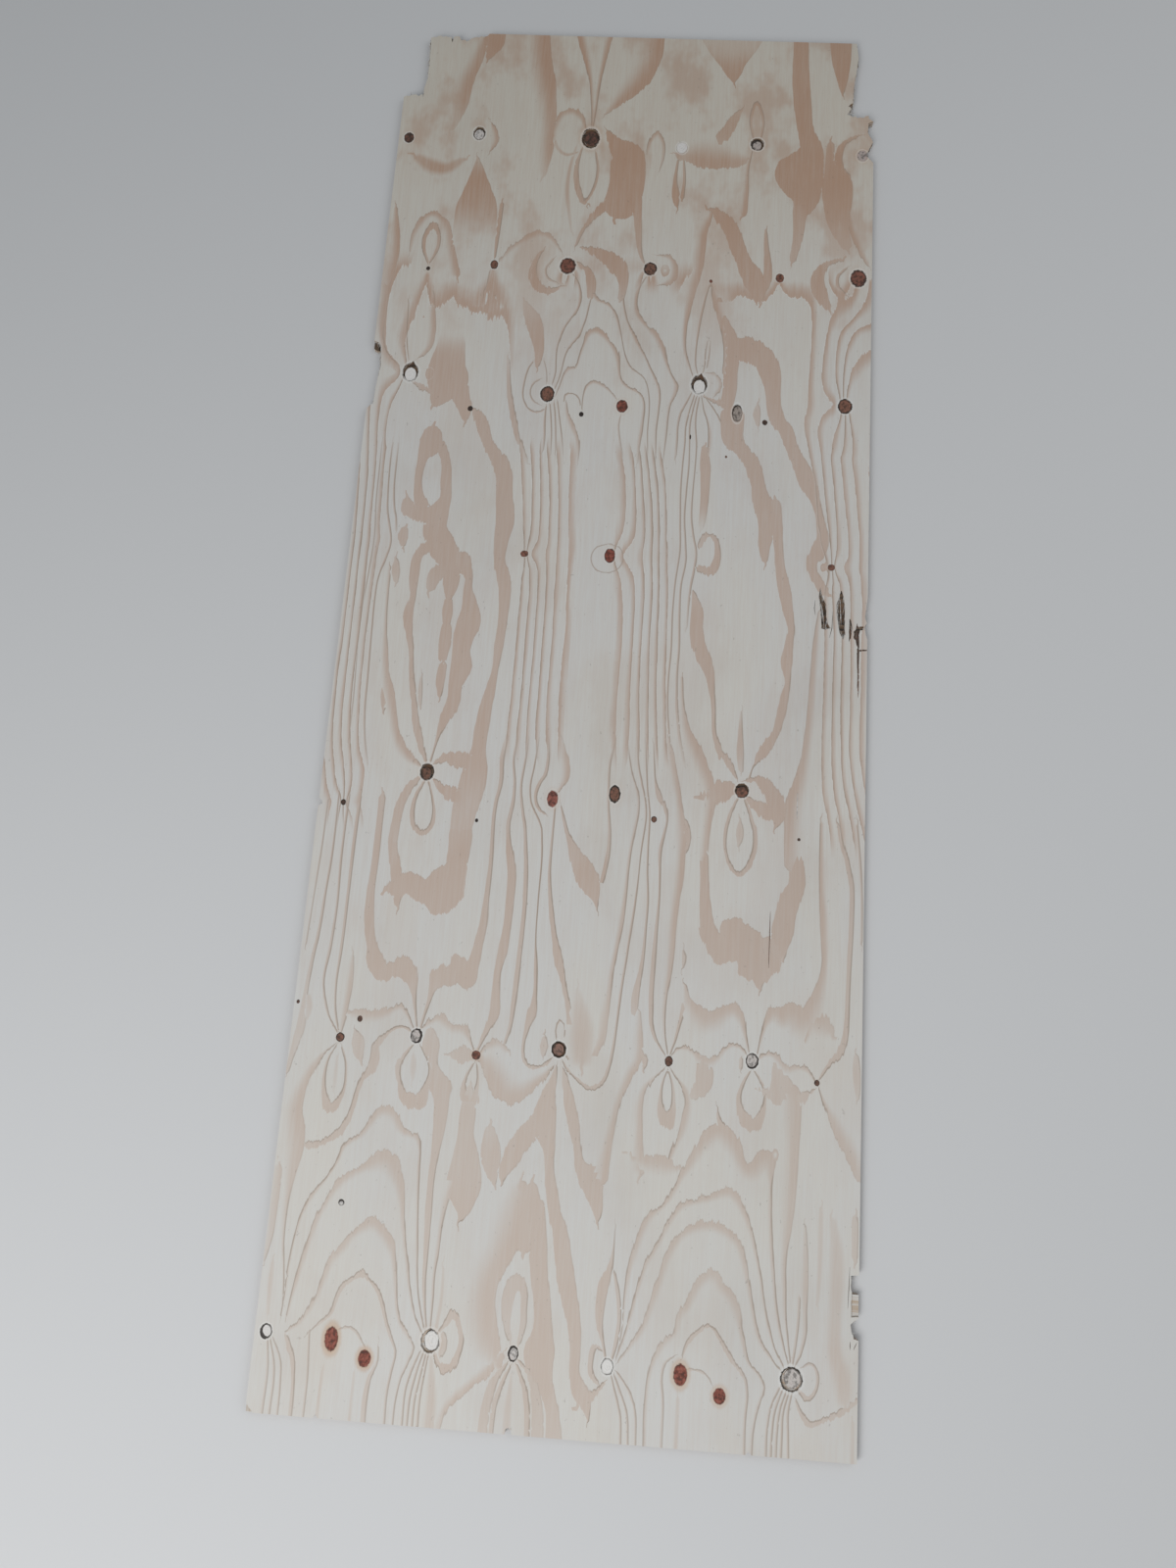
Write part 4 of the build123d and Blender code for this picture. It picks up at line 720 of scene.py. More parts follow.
    streak(BOTH, (81, -925, 1, 0.3), (80, -960, 2, 0.7), (77, -985, 5, 0.9), (70, -1005, 8, 1), (66, -1030),
        (66, -1060, 6, 0.9), (72, -1085, 3, 0.8), (77, -1106, 2)),
    streak(BOTH, (83, -988, 2, 0.7), (91, -1020, 3, 0.8), (95, -1055), (91, -1090), (87, -1108, 2)),
    streak(BOTH, (72, -1098, 2, 0.7), (62, -1092, 4, 0.8), (57, -1110), (58, -1130, 4, 0.9),
        (68, -1142, 4, 0.8)),
]
# On the hills' tops, deeper than this many rings, flames stand in for the rings
HILL_TOP = 6.08
HILL_BLEND = 0.1
# Above this height and below the other the flames take over from the rings, over this length
FLAMES_FROM = 690
FLAMES_BELOW = -300
FLAMES_BLEND = 55
# They take over as well between the second row of knots and the third: middle, half sizes and blend
ROWS_MIDDLE = (-3, 515)
ROWS_HALF = (205, 178)
ROWS_BLEND = (25, 35)
# Between the hills, where the rings crowd, they take over this much sooner
BUNDLE_HALF = 165
BUNDLE_LIFT = 125
BUNDLE_BLEND = 20
FLAME_REACH = 12.0      # millimetres beyond its edge to which a flame is looked for
FLAME_STEP = 8.0        # millimetres from one short step of its route to the next
LATE_SHARES = 0.12, 0.55    # the least and the most of a ring that is latewood


# Numbers behind the figure

def along(y, stations):
    """A smooth curve through stations of (place, value)."""
    places, values = np.array(sorted(stations), float).T
    gaps = np.diff(places)
    steps = np.diff(values) / gaps
    slopes = np.empty_like(values)
    slopes[1:-1] = (steps[:-1] * gaps[1:] + steps[1:] * gaps[:-1]) / (places[2:] - places[:-2])
    slopes[0], slopes[-1] = steps[0], steps[-1]
    y = np.clip(y, places[0], places[-1])
    at = np.clip(np.searchsorted(places, y) - 1, 0, len(gaps) - 1)
    gap = gaps[at]
    t = (y - places[at]) / gap
    low_part = (2 * t**3 - 3 * t**2 + 1) * values[at] + (t**3 - 2 * t**2 + t) * gap * slopes[at]
    high_part = (3 * t**2 - 2 * t**3) * values[at + 1] + (t**3 - t**2) * gap * slopes[at + 1]
    return low_part + high_part


def smooth(t):
    t = np.clip(t, 0, 1)
    return t * t * (3 - 2 * t)


def lattice(column, row, seed):
    """A fixed number from -1 to 1 for each cell of a lattice."""
    mixed = (column * 374761393 + row * 668265263 + seed * 362437) & 0xFFFFFFFF
    mixed = ((mixed ^ (mixed >> 13)) * 1274126177) & 0xFFFFFFFF
    mixed = mixed ^ (mixed >> 16)
    return (mixed & 0xFFFFFF) / 0xFFFFFF * 2 - 1


def wander(x, y, wide, tall, seed):
    """Smooth noise whose cells are wide by tall, in millimetres."""
    column, row = np.floor(x / wide).astype(np.int64), np.floor(y / tall).astype(np.int64)
    u, v = smooth(x / wide - column), smooth(y / tall - row)
    lower = lattice(column, row, seed) * (1 - u) + lattice(column + 1, row, seed) * u
    upper = lattice(column, row + 1, seed) * (1 - u) + lattice(column + 1, row + 1, seed) * u
    return lower * (1 - v) + upper * v


def flank(t):
    """The slope of a round log from the valley 0 to the hill 1: slow, steep, then slow."""
    return 0.88 * smooth((t - 0.10) / 0.60) + 0.12 * t


def between(x, left, left_rings, right, right_rings):
    """The rings between two lines along the sheet, bent the same way whichever is the hill."""
    t = np.clip((x - left) / (right - left), 0, 1)
    bend = np.where(left_rings < right_rings, flank(t), 1 - flank(1 - t))
    return left_rings + (right_rings - left_rings) * bend


def knot_pull(x, y, knot):
    """How far sideways a knot draws the rings towards itself."""
    size = (knot.wide + knot.tall) / 2
    strength, width, height = 1.6 + 0.055 * size, 6 + 0.8 * size, 8 + 1.5 * size
    if knot.pinch:
        strength, width, height = 2.5, knot.pinch, 0.8 * knot.pinch
    near = 1 / (1 + ((y - knot.y) / height) ** 2) ** 1.5
    near = near * np.exp(-(((x - knot.x) / PULL_REACH) ** 2))
    return (x - knot.x) * strength * near / (1 + ((x - knot.x) / width) ** 2) ** 1.5


def knot_swelling(x, y, knot):
    """The teardrop of rings that hangs from a knot, and the eye beside it."""
    size = (knot.wide + knot.tall) / 2
    rings = np.zeros_like(x)
    if knot.rise:
        t = np.clip((knot.y - y) / knot.reach, 0, 1)
        width = (0.8 * size + 6) * (0.30 + 0.9 * t)
        rings += knot.rise * smooth(t / 0.15) * (1 - t**3) * np.exp(-(((x - knot.x) / width) ** 2))
    if knot.eye:
        middle = knot.x + knot.eye * (0.5 * knot.wide + 0.55 * size + 3)
        across = (x - middle) / (0.45 * size + 3)
        lengthwise = (y - knot.y + 0.1 * size) / (0.75 * size + 4)
        rings -= 0.9 * np.exp(-(across**2) - lengthwise**2)
    return rings


def ring_depth(x, y):
    """How many rings deep the peel stands at each place. At whole numbers lie the dark latewood edges."""
    pulled = x + 5 * wander(x * 0, y, 1, 170, 3)
    added = np.zeros_like(x)
    for knot in KNOTS + CURLS:
        pulled = pulled + knot_pull(x, y, knot)
        added = added + knot_swelling(x, y, knot)
    left, middle, right = along(y, LEFT_HILL_LINE), along(y, VALLEY_LINE), along(y, RIGHT_HILL_LINE)
    left_rings, middle_rings, right_rings = along(y, LEFT_HILL), along(y, VALLEY), along(y, RIGHT_HILL)
    rings = np.select(
        [pulled < left, pulled < middle, pulled < right],
        [
            between(pulled, middle - TURN_WIDTH, middle_rings - RINGS_GAINED, left, left_rings),
            between(pulled, left, left_rings, middle, middle_rings),
            between(pulled, middle, middle_rings, right, right_rings),
        ],
        between(pulled, right, right_rings, middle + TURN_WIDTH, middle_rings + RINGS_GAINED),
    )
    place_x, place_y, half_wide, half_long, swell = SWELLING
    across, lengthwise = (x - place_x) / half_wide, (y - place_y) / half_long
    rings = rings + added + swell * np.exp(-(across**2) - lengthwise**2)
    for size, wide, tall, seed in WAVES:
        rings = rings + size * wander(x, y, wide, tall, seed)
    return rings


def route_steps(route):
    """A flame's route as a smooth curve, cut into short straight steps."""
    stations = np.array(route, float)
    run = np.concatenate([[0], np.cumsum(np.hypot(*np.diff(stations[:, :2], axis=0).T))])
    places = np.linspace(0, run[-1], max(2, int(run[-1] / FLAME_STEP)) + 1)
    return np.stack([along(places, list(zip(run, column))) for column in stations.T], 1)


def flame_offsets(x, y, flame):
    """How far each place lies to the flame's crisp side, and the half width, strength and slant there."""
    best = np.full(x.shape, np.inf)
    offset, width, strength, slant = (np.zeros(x.shape) for _ in range(4))
    steps = route_steps(flame.route)
    for start, end in zip(steps, steps[1:]):
        run = end[:2] - start[:2]
        length = np.hypot(*run)
        heading = run / length
        share = np.clip(((x - start[0]) * heading[0] + (y - start[1]) * heading[1]) / length, 0, 1)
        across, up = x - start[0] - share * run[0], y - start[1] - share * run[1]
        away = np.hypot(across, up)
        nearer = away < best
        side = np.where(heading[0] * up - heading[1] * across < 0, -1.0, 1.0)
        best = np.where(nearer, away, best)
        offset = np.where(nearer, side * away, offset)
        width = np.where(nearer, start[2] + share * (end[2] - start[2]), width)
        strength = np.where(nearer, start[3] + share * (end[3] - start[3]), strength)
        slant = np.where(nearer, abs(heading[0]), slant)
    toward_crisp = -offset if flame.crisp == LEFT else offset
    return toward_crisp, width, strength, slant


def near_flame(x, y, flame):
    """Which places lie in a box round the flame."""
    stations = np.array(flame.route, float)
    room = stations[:, 2].max() + FLAME_REACH + 4
    (low_x, low_y), (high_x, high_y) = stations[:, :2].min(0) - room, stations[:, :2].max(0) + room
    return np.flatnonzero((x > low_x) & (x < high_x) & (y > low_y) & (y < high_y))


# The sheet's mesh

def rim_without_face():
    """A merged copy of the CAD sheet with its face taken off."""
    shell = bmesh.new()
    shell.from_mesh(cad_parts[SHEET_NODE].data)
    bmesh.ops.remove_doubles(shell, verts=shell.verts, dist=TOUCH * MM / 10)
    bmesh.ops.scale(shell, vec=Vector((1 / MM,) * 3), verts=shell.verts)
    shell.normal_update()
    face = [f for f in shell.faces if f.normal.z > FLAT and f.calc_center_median().z > THICKNESS - TOUCH]
    bmesh.ops.delete(shell, geom=face, context="FACES")
    return shell


def cut_long_edges(shell, longest):
    """Cuts the open rim's long edges, so that the face can follow the figure up to its edge."""
    for edge in [e for e in shell.edges if len(e.link_faces) == 1]:
        cuts = int(edge.calc_length() // longest)
        if cuts:
            bmesh.ops.subdivide_edges(shell, edges=[edge], cuts=cuts)


def face_points(settings, rim_tree):
    """Points inside the face: an even grid, and rings of closer points round each knot."""
    rows = np.arange(-HALF_LENGTH, HALF_LENGTH, settings.grid_along)
    columns = np.arange(-HALF_WIDTH, HALF_WIDTH, settings.grid_across)
    x, y = (part.ravel() for part in np.meshgrid(columns, rows))
    stagger = np.where(np.round(y / settings.grid_along).astype(int) % 2, settings.grid_across / 2, 0)
    places = [np.stack([x + stagger, y], 1)]
    taken = np.zeros(len(places[0]), bool)
    for knot in KNOTS + CURLS:
        reach = 12 + 0.9 * (knot.wide + knot.tall) / 2
        taken |= np.hypot(places[0][:, 0] - knot.x, places[0][:, 1] - knot.y) < reach
        step = settings.grid_fine
        for count, radius in enumerate(np.arange(step / 2, reach, step)):
            turns = max(6, round(2 * math.pi * radius / step))
            angle = (np.arange(turns) + 0.5 * (count % 2)) * 2 * math.pi / turns
            places.append(np.stack([knot.x + radius * np.cos(angle), knot.y + radius * np.sin(angle)], 1))
    places[0] = places[0][~taken]
    clear = settings.grid_fine * 0.6
    return [
        Vector(place)
        for place in np.concatenate(places)
        if abs(place[0]) < HALF_WIDTH - clear and abs(place[1]) < HALF_LENGTH - clear
        and rim_tree.find((place[0], place[1], 0))[2] > clear
    ]


def on_sheet(triangles, rim_pairs):
    """Which triangles lie on the sheet: those reached from outside over an odd number of rim edges."""
    beside = {}
    for count, corners in enumerate(triangles):
        for pair in zip(corners, corners[1:] + corners[:1]):
            beside.setdefault(frozenset(pair), []).append(count)
    inside = {found[0]: pair in rim_pairs for pair, found in beside.items() if len(found) == 1}
    waiting = list(inside)
    while waiting:
        count = waiting.pop()
        corners = triangles[count]
        for pair in map(frozenset, zip(corners, corners[1:] + corners[:1])):
            for neighbour in beside[pair]:
                if neighbour not in inside:
                    inside[neighbour] = inside[count] != (pair in rim_pairs)
                    waiting.append(neighbour)
    return [triangle for count, triangle in enumerate(triangles) if inside[count]]


def fill_face(shell, settings):
    """Closes the face with small triangles that keep to the rim."""
    rim_edges = [e for e in shell.edges if len(e.link_faces) == 1]
    rim = list({vertex for edge in rim_edges for vertex in edge.verts})
    rim.sort(key=lambda vertex: (vertex.co.x, vertex.co.y))
    number = {vertex: count for count, vertex in enumerate(rim)}
    marks = [vertex.co.xy.to_3d() for vertex in rim]
    marks += [((e.verts[0].co + e.verts[1].co) / 2).xy.to_3d() for e in rim_edges]
    rim_tree = KDTree(len(marks))
    for count, mark in enumerate(marks):
        rim_tree.insert(mark, count)
    rim_tree.balance()
    points = [vertex.co.xy for vertex in rim] + face_points(settings, rim_tree)
    edges = sorted(tuple(sorted(number[v] for v in edge.verts)) for edge in rim_edges)
    found, _, triangles, origin, _, _ = delaunay_2d_cdt(points, edges, [], 0, 1e-5, True)
    made = [rim[source[0]] if source and source[0] < len(rim) else None for source in origin]
    place_of = {vertex: count for count, vertex in enumerate(made) if vertex}
    rim_pairs = {frozenset(place_of[v] for v in edge.verts) for edge in rim_edges}
    for triangle in on_sheet([list(t) for t in triangles], rim_pairs):
        for count in triangle:
            made[count] = made[count] or shell.verts.new((*found[count], THICKNESS))
        shell.faces.new([made[count] for count in triangle])


FACE, EDGE, TORN, BACK = range(4)


def part_of_sheet(face):
    """Which finish a face of the mesh takes: the good face, an edge, a torn inner ply or the back."""
    height = face.calc_center_median().z
    if face.normal.z > FLAT and height > THICKNESS - TOUCH:
        return FACE
    if face.normal.z < -FLAT and height < TOUCH:
        return BACK
    return TORN if abs(face.normal.z) > FLAT else EDGE


def store(mesh, name, kind, domain, values):
    """Writes one number or vector for each point, corner or face."""
    attribute = mesh.attributes.new(name, kind, domain)
    key = "value" if kind == "FLOAT" else "vector"
    attribute.data.foreach_set(key, np.ascontiguousarray(values, np.float32).ravel())


def store_figure(mesh):
    """The rings at each point, how close together they run, and the knot and flame nearest each face."""
    places = np.empty(len(mesh.vertices) * 3, np.float32)
    mesh.vertices.foreach_get("co", places)
    x, y = places.reshape(-1, 3)[:, :2].T.astype(float) / MM
    rings = ring_depth(x, y)
    step = 1.0
    across, up = ring_depth(x + step, y) - rings, ring_depth(x, y + step) - rings
    slope = np.hypot(across, up) / step
    width = LATEWOOD_WIDTH + LATEWOOD_DRAWN_OUT * up**2 / (across**2 + up**2 + 1e-12)
    store(mesh, "rings", "FLOAT", "POINT", rings)
    store(mesh, "crowding", "FLOAT", "POINT", slope)
    store(mesh, "late_share", "FLOAT", "POINT", np.clip(slope * width, *LATE_SHARES))
    strength = 1 - smooth((rings - HILL_TOP) / HILL_BLEND)
    strength *= 1 - smooth((y - FLAMES_FROM) / FLAMES_BLEND)
    beside, above = (ROWS_HALF[i] - abs(place - ROWS_MIDDLE[i]) for i, place in enumerate((x, y)))
    strength *= 1 - smooth(beside / ROWS_BLEND[0]) * smooth(above / ROWS_BLEND[1])
    below = FLAMES_BELOW + BUNDLE_LIFT * smooth((BUNDLE_HALF - abs(x)) / BUNDLE_BLEND)
    strength *= 1 - smooth((below - y) / FLAMES_BLEND)
    store(mesh, "ring_strength", "FLOAT", "POINT", strength)
    corners = np.empty(len(mesh.loops), np.int32)
    mesh.loops.foreach_get("vertex_index", corners)
    sides = np.empty(len(mesh.polygons), np.int32)
    mesh.polygons.foreach_get("loop_total", sides)
    face_of = np.repeat(np.arange(len(sides)), sides)
    middle_x = np.bincount(face_of, x[corners]) / sides
    middle_y = np.bincount(face_of, y[corners]) / sides
    store_knots(mesh, x[corners], y[corners], middle_x, middle_y, face_of)
    store_flames(mesh, x[corners], y[corners], middle_x, middle_y, face_of)


def store_knots(mesh, x, y, middle_x, middle_y, face_of):
    """Where each corner lies from the knot nearest its face, in half widths and half heights."""
    marks = np.array(KNOTS + MARKS, float)
    away = [np.hypot((middle_x - mark[0]) / mark[2], (middle_y - mark[1]) / mark[3]) for mark in marks]
    nearest = marks[np.argmin(away, axis=0)]
    own = nearest[face_of]
    across, lengthwise = (x - own[:, 0]) / own[:, 2] * 2, (y - own[:, 1]) / own[:, 3] * 2
    store(mesh, "knot_place", "FLOAT_VECTOR", "CORNER", np.stack([across, lengthwise, own[:, 2]], 1))
    store(mesh, "knot_look", "FLOAT_VECTOR", "FACE", nearest[:, 4:7])
    store(mesh, "knot_seat", "FLOAT_VECTOR", "FACE", nearest[:, 7:10])


def store_flames(mesh, x, y, middle_x, middle_y, face_of):
    """Where each corner lies across the flame that its face is deepest in."""
    depth = np.full(len(middle_x), -FLAME_REACH)
    chosen = np.full(len(middle_x), -1)
    for count, flame in enumerate(FLAMES):
        near = near_flame(middle_x, middle_y, flame)
        offset, width = flame_offsets(middle_x[near], middle_y[near], flame)[:2]
        deeper = width - abs(offset) > depth[near]
        won = near[deeper]
        depth[won], chosen[won] = (width - abs(offset))[deeper], count
    place, slants = np.zeros((len(x), 3)), np.zeros(len(x))
    for count, flame in enumerate(FLAMES):
        own = chosen[face_of] == count
        offset, width, strength, slants[own] = flame_offsets(x[own], y[own], flame)
        place[own] = np.stack([offset, width, strength], 1)
    crisp = np.array([{BOTH: 0, SOFT: 2}.get(flame.crisp, 1) for flame in FLAMES] + [0])
    store(mesh, "flame_place", "FLOAT_VECTOR", "CORNER", place)
    store(mesh, "flame_slant", "FLOAT", "CORNER", slants)
    store(mesh, "flame_crisp", "FLOAT", "FACE", crisp[chosen])


def make_sheet(settings):
    """The dressed sheet, with the CAD sheet's outline, breaks and open knots."""
    shell = rim_without_face()
    cut_long_edges(shell, settings.grid_across)
    fill_face(shell, settings)
    shell.normal_update()
    for face in shell.faces:
        face.material_index = part_of_sheet(face)
    bmesh.ops.scale(shell, vec=Vector((MM,) * 3), verts=shell.verts)
    mesh = bpy.data.meshes.new("sheet_with_figure")
    shell.to_mesh(mesh)
    shell.free()
    for material in (face_veneer(settings), ply_edges(settings), torn_ply(settings), back_veneer(settings)):
        mesh.materials.append(material)
    store_figure(mesh)
    sheet = bpy.data.objects.new("sheet_with_figure", mesh)
    bpy.context.scene.collection.objects.link(sheet)
    return sheet


# Materials

# How fine each noise is, in waves to the metre across the sheet, along it and through it
FIBRES, FINGERS, PATCHES, CLOUDS = (330, 22, 330), (120, 6, 120), (7, 3, 7), (9, 5, 9)
KNOT_EDGE, KNOT_BLOTCHES, KNOT_RIM = (260, 200, 260), (190, 170, 190), (90, 90, 90)
EDGE_FIBRES, PORES, GLUE_PATCHES = (25, 25, 900), (900, 900, 420), (70, 70, 70)
FILM, SPECKS = (4, 2.5, 4), (210, 120, 210)


class Tree:
    """Short ways to add and join the nodes of one shader or geometry tree."""

    def __init__(self, tree):
        self.tree = tree

    def add(self, kind, **choices):
        node = self.tree.nodes.new(kind if "Node" in kind else "ShaderNode" + kind)
        for name, value in choices.items():
            setattr(node, name, value)
        return node

    def feed(self, socket, value):
        if isinstance(value, bpy.types.NodeSocket):
            self.tree.links.new(value, socket)
        else:
            socket.default_value = value

    def math(self, operation, *values, clamp=False):
        node = self.add("Math", operation=operation, use_clamp=clamp)
        for socket, value in zip(node.inputs, values):
            self.feed(socket, value)
        return node.outputs[0]

    def vector_math(self, operation, *values):
        node = self.add("VectorMath", operation=operation)
        for socket, value in zip(node.inputs, values):
            self.feed(socket, value)
        return node.outputs[1 if operation == "LENGTH" else 0]

    def between(self, value, low, high):
        """0 where value is low, 1 where it is high."""
        node = self.add("MapRange", interpolation_type="SMOOTHSTEP")
        for name, given in (("Value", value), ("From Min", low), ("From Max", high)):
            self.feed(node.inputs[name], given)
        return node.outputs["Result"]

    def blend(self, factor, first, second):
        node = self.add("Mix", data_type="RGBA", blend_type="MIX")
        self.feed(node.inputs["Factor"], factor)
        colours = [socket for socket in node.inputs if socket.type == "RGBA"]
        self.feed(colours[0], first)
        self.feed(colours[1], second)
        return next(socket for socket in node.outputs if socket.type == "RGBA")

    def noise(self, place, detail=2.0, rough=0.5):
        node = self.add("TexNoise", noise_dimensions="3D")
        for name, given in (("Vector", place), ("Scale", 1.0), ("Detail", detail), ("Roughness", rough)):
            self.feed(node.inputs[name], given)
        return node.outputs["Fac"]

    def stretch(self, place, scale):
        """The place, scaled by its own number for each axis."""
        return self.vector_math("MULTIPLY", place, scale)

    def attribute(self, name, output="Fac"):
        return self.add("Attribute", attribute_type="GEOMETRY", attribute_name=name).outputs[output]

    def parts(self, vector):
        node = self.add("SeparateXYZ")
        self.feed(node.inputs[0], vector)
        return node.outputs

    def use(self, group, **values):
        node = self.add("Group", node_tree=group)
        for name, value in values.items():
            self.feed(node.inputs[name], value)
        return node.outputs


def new_group(name, inputs, outputs, kind_of_tree="ShaderNodeTree"):
    """A node group with named sockets. Each input is a name, kind and default."""
    group = bpy.data.node_groups.new(name, kind_of_tree)
    for title, kind, default in inputs:
        socket = group.interface.new_socket(title, in_out="INPUT", socket_type=kind)
        if default is not None:
            socket.default_value = default
    for title, kind in outputs:
        group.interface.new_socket(title, in_out="OUTPUT", socket_type=kind)
    ends = group.nodes.new("NodeGroupInput").outputs, group.nodes.new("NodeGroupOutput").inputs
    return group, Tree(group), ends


NUMBER, COLOUR, VECTOR = "NodeSocketFloat", "NodeSocketColor", "NodeSocketVector"
WHOLE, SHAPES, FINISH = "NodeSocketInt", "NodeSocketGeometry", "NodeSocketMaterial"


def wood_fibre():
    """Group: fine fibres that run along one axis, as a mask and a height."""
    found = bpy.data.node_groups.get("Wood Fibre")
    if found:
        return found
    group, tree, (given, out) = new_group(
        "Wood Fibre",
        [("Place", VECTOR, (0, 0, 0)), ("Coarse", NUMBER, 1.0)],
        [("Streaks", NUMBER), ("Height", NUMBER)],
    )
    place = tree.vector_math("SCALE", given["Place"])
    tree.feed(place.node.inputs["Scale"], given["Coarse"])
    broad = tree.noise(tree.stretch(place, (240, 9, 240)), detail=3, rough=0.55)
    fine = tree.noise(tree.stretch(place, (1300, 30, 1300)), detail=2, rough=0.6)
    pores = tree.noise(tree.stretch(place, (2600, 160, 2600)), detail=1)
    streaks = tree.math("MULTIPLY_ADD", broad, 0.5, tree.math("MULTIPLY", fine, 0.5))
    tree.feed(out["Streaks"], streaks)
    tree.feed(out["Height"], tree.math("MULTIPLY_ADD", pores, 0.4, tree.math("MULTIPLY", fine, 0.6)))
    return group


def soiling():
    """Group: a thin film of dust and small specks on a base colour."""
    found = bpy.data.node_groups.get("Soiling")
    if found:
        return found
    group, tree, (given, out) = new_group(
        "Soiling",
        [("Base", COLOUR, (1, 1, 1, 1)), ("Place", VECTOR, (0, 0, 0)),
         ("Dirt", COLOUR, (0.2, 0.17, 0.14, 1)), ("Amount", NUMBER, 0.3)],
        [("Colour", COLOUR)],
    )
    cloud = tree.noise(tree.stretch(given["Place"], FILM), detail=5, rough=0.6)
    film = tree.math("MULTIPLY", tree.between(cloud, 0.45, 0.8), given["Amount"])
    specks = tree.noise(tree.stretch(given["Place"], SPECKS), detail=2, rough=0.5)
    spotted = tree.math("MULTIPLY", tree.between(specks, 0.70, 0.78), given["Amount"])
    dusty = tree.blend(tree.math("MULTIPLY", film, 0.35), given["Base"], given["Dirt"])
    tree.feed(out["Colour"], tree.blend(spotted, dusty, given["Dirt"]))
    return group


def dusted(tree, wood, place, settings, share=1.0):
    """A colour with dust on it, by this share of the setting."""
    dirt = {"Amount": settings.dirt * share, "Dirt": solid(settings.dirt_colour)}
    return tree.use(soiling(), Base=wood, Place=place, **dirt)["Colour"]


def new_material(name, roughness=0.62):
    """A material with one Principled BSDF, and its tree."""
    material = bpy.data.materials.new(name)
    material.use_nodes = True
    tree = Tree(material.node_tree)
    shader = next(n for n in material.node_tree.nodes if n.type == "BSDF_PRINCIPLED")
    shader.inputs["Roughness"].default_value = roughness
    shader.inputs["Specular IOR Level"].default_value = 0.35
    return material, tree, shader


def raise_grain(tree, shader, height, depth_mm, strength=0.6):
    """Feeds a height, in millimetres of relief, to the shader's normal."""
    bump = tree.add("Bump")
    bump.inputs["Distance"].default_value = depth_mm * MM
    bump.inputs["Strength"].default_value = strength
    tree.feed(bump.inputs["Height"], height)
    tree.feed(shader.inputs["Normal"], bump.outputs["Normal"])


def solid(colour):
    return (*colour, 1.0)


def latewood(tree, rings, crowding, share):
    """How much of a place is latewood, the thin step beside a ring's edge, brightened as a painted
    highlight, and the dark line along it.
    """
    part = tree.math("FRACT", rings)
    crowded = tree.between(crowding, 0.02, 0.09)
    start = tree.math("SUBTRACT", 1.0, share)
    rise = tree.between(part, start, 0.95)
    edge = tree.between(part, 0.988, 1.0)
    late = tree.math("MULTIPLY", rise, tree.math("SUBTRACT", 1.0, edge))
    highlight_width = tree.math("MULTIPLY_ADD", crowding, 1.6, 0.004)
    step = tree.math("SUBTRACT", 1.0, tree.between(part, 0.0, highlight_width))
    line_start = tree.math("MULTIPLY_ADD", crowding, -3.2, 1.0)
    line = tree.math("MULTIPLY", tree.between(part, line_start, 0.98), tree.math("SUBTRACT", 1.0, edge))
    return late, step, tree.math("MULTIPLY", line, crowded)


def mix_numbers(tree, factor, first, second):
    node = tree.add("Mix", data_type="FLOAT")
    for count, value in ((0, factor), (2, first), (3, second)):
        tree.feed(node.inputs[count], value)
    return node.outputs[0]


def flame_cover(tree, jitter, fingers):
    """How much of the place a flame covers, ragged across the grain, and a thin flame's dark line."""
    offset, width, strength = tree.parts(tree.attribute("flame_place", "Vector"))
    slant, crisp = tree.attribute("flame_slant"), tree.attribute("flame_crisp")
    ragged = tree.math("MULTIPLY_ADD", slant, 12.0, 2.5)
    thick = tree.between(width, 1.5, 6.0)
    ragged = tree.math("MULTIPLY", ragged, tree.math("MULTIPLY_ADD", thick, 0.75, 0.25))
    stray = tree.math("ADD", tree.math("SUBTRACT", jitter, 0.5), tree.math("SUBTRACT", fingers, 0.5))
    stray = tree.math("MULTIPLY", stray, ragged)
    from_middle = tree.math("ABSOLUTE", offset)
    inside = tree.math("ADD", tree.math("SUBTRACT", width, from_middle), stray)
    both = tree.between(inside, -0.4, 0.8)
    to_edge = tree.math("ADD", tree.math("SUBTRACT", width, offset), stray)
    depth = tree.math("DIVIDE", tree.math("ADD", offset, width), tree.math("MULTIPLY", width, 1.6))
    one = tree.math("MULTIPLY", tree.between(to_edge, -0.4, 0.8), tree.between(depth, 0.0, 1.0))
    faint = tree.between(tree.math("DIVIDE", from_middle, width), 1.0, 0.2)
    is_one, is_soft = tree.between(crisp, 0.4, 0.6), tree.between(crisp, 1.4, 1.6)
    cover = mix_numbers(tree, is_soft, mix_numbers(tree, is_one, both, one), faint)
    line = tree.math("MULTIPLY", tree.between(to_edge, -0.6, 0.3), tree.between(to_edge, 2.4, 1.4))
    line = tree.math("MULTIPLY", line, tree.math("SUBTRACT", 1.0, is_soft))
    line = tree.math("MULTIPLY", line, tree.math("MULTIPLY_ADD", tree.between(width, 3.0, 9.0), -0.8, 1.0))
    return tree.math("MULTIPLY", cover, strength), tree.math("MULTIPLY", line, strength)


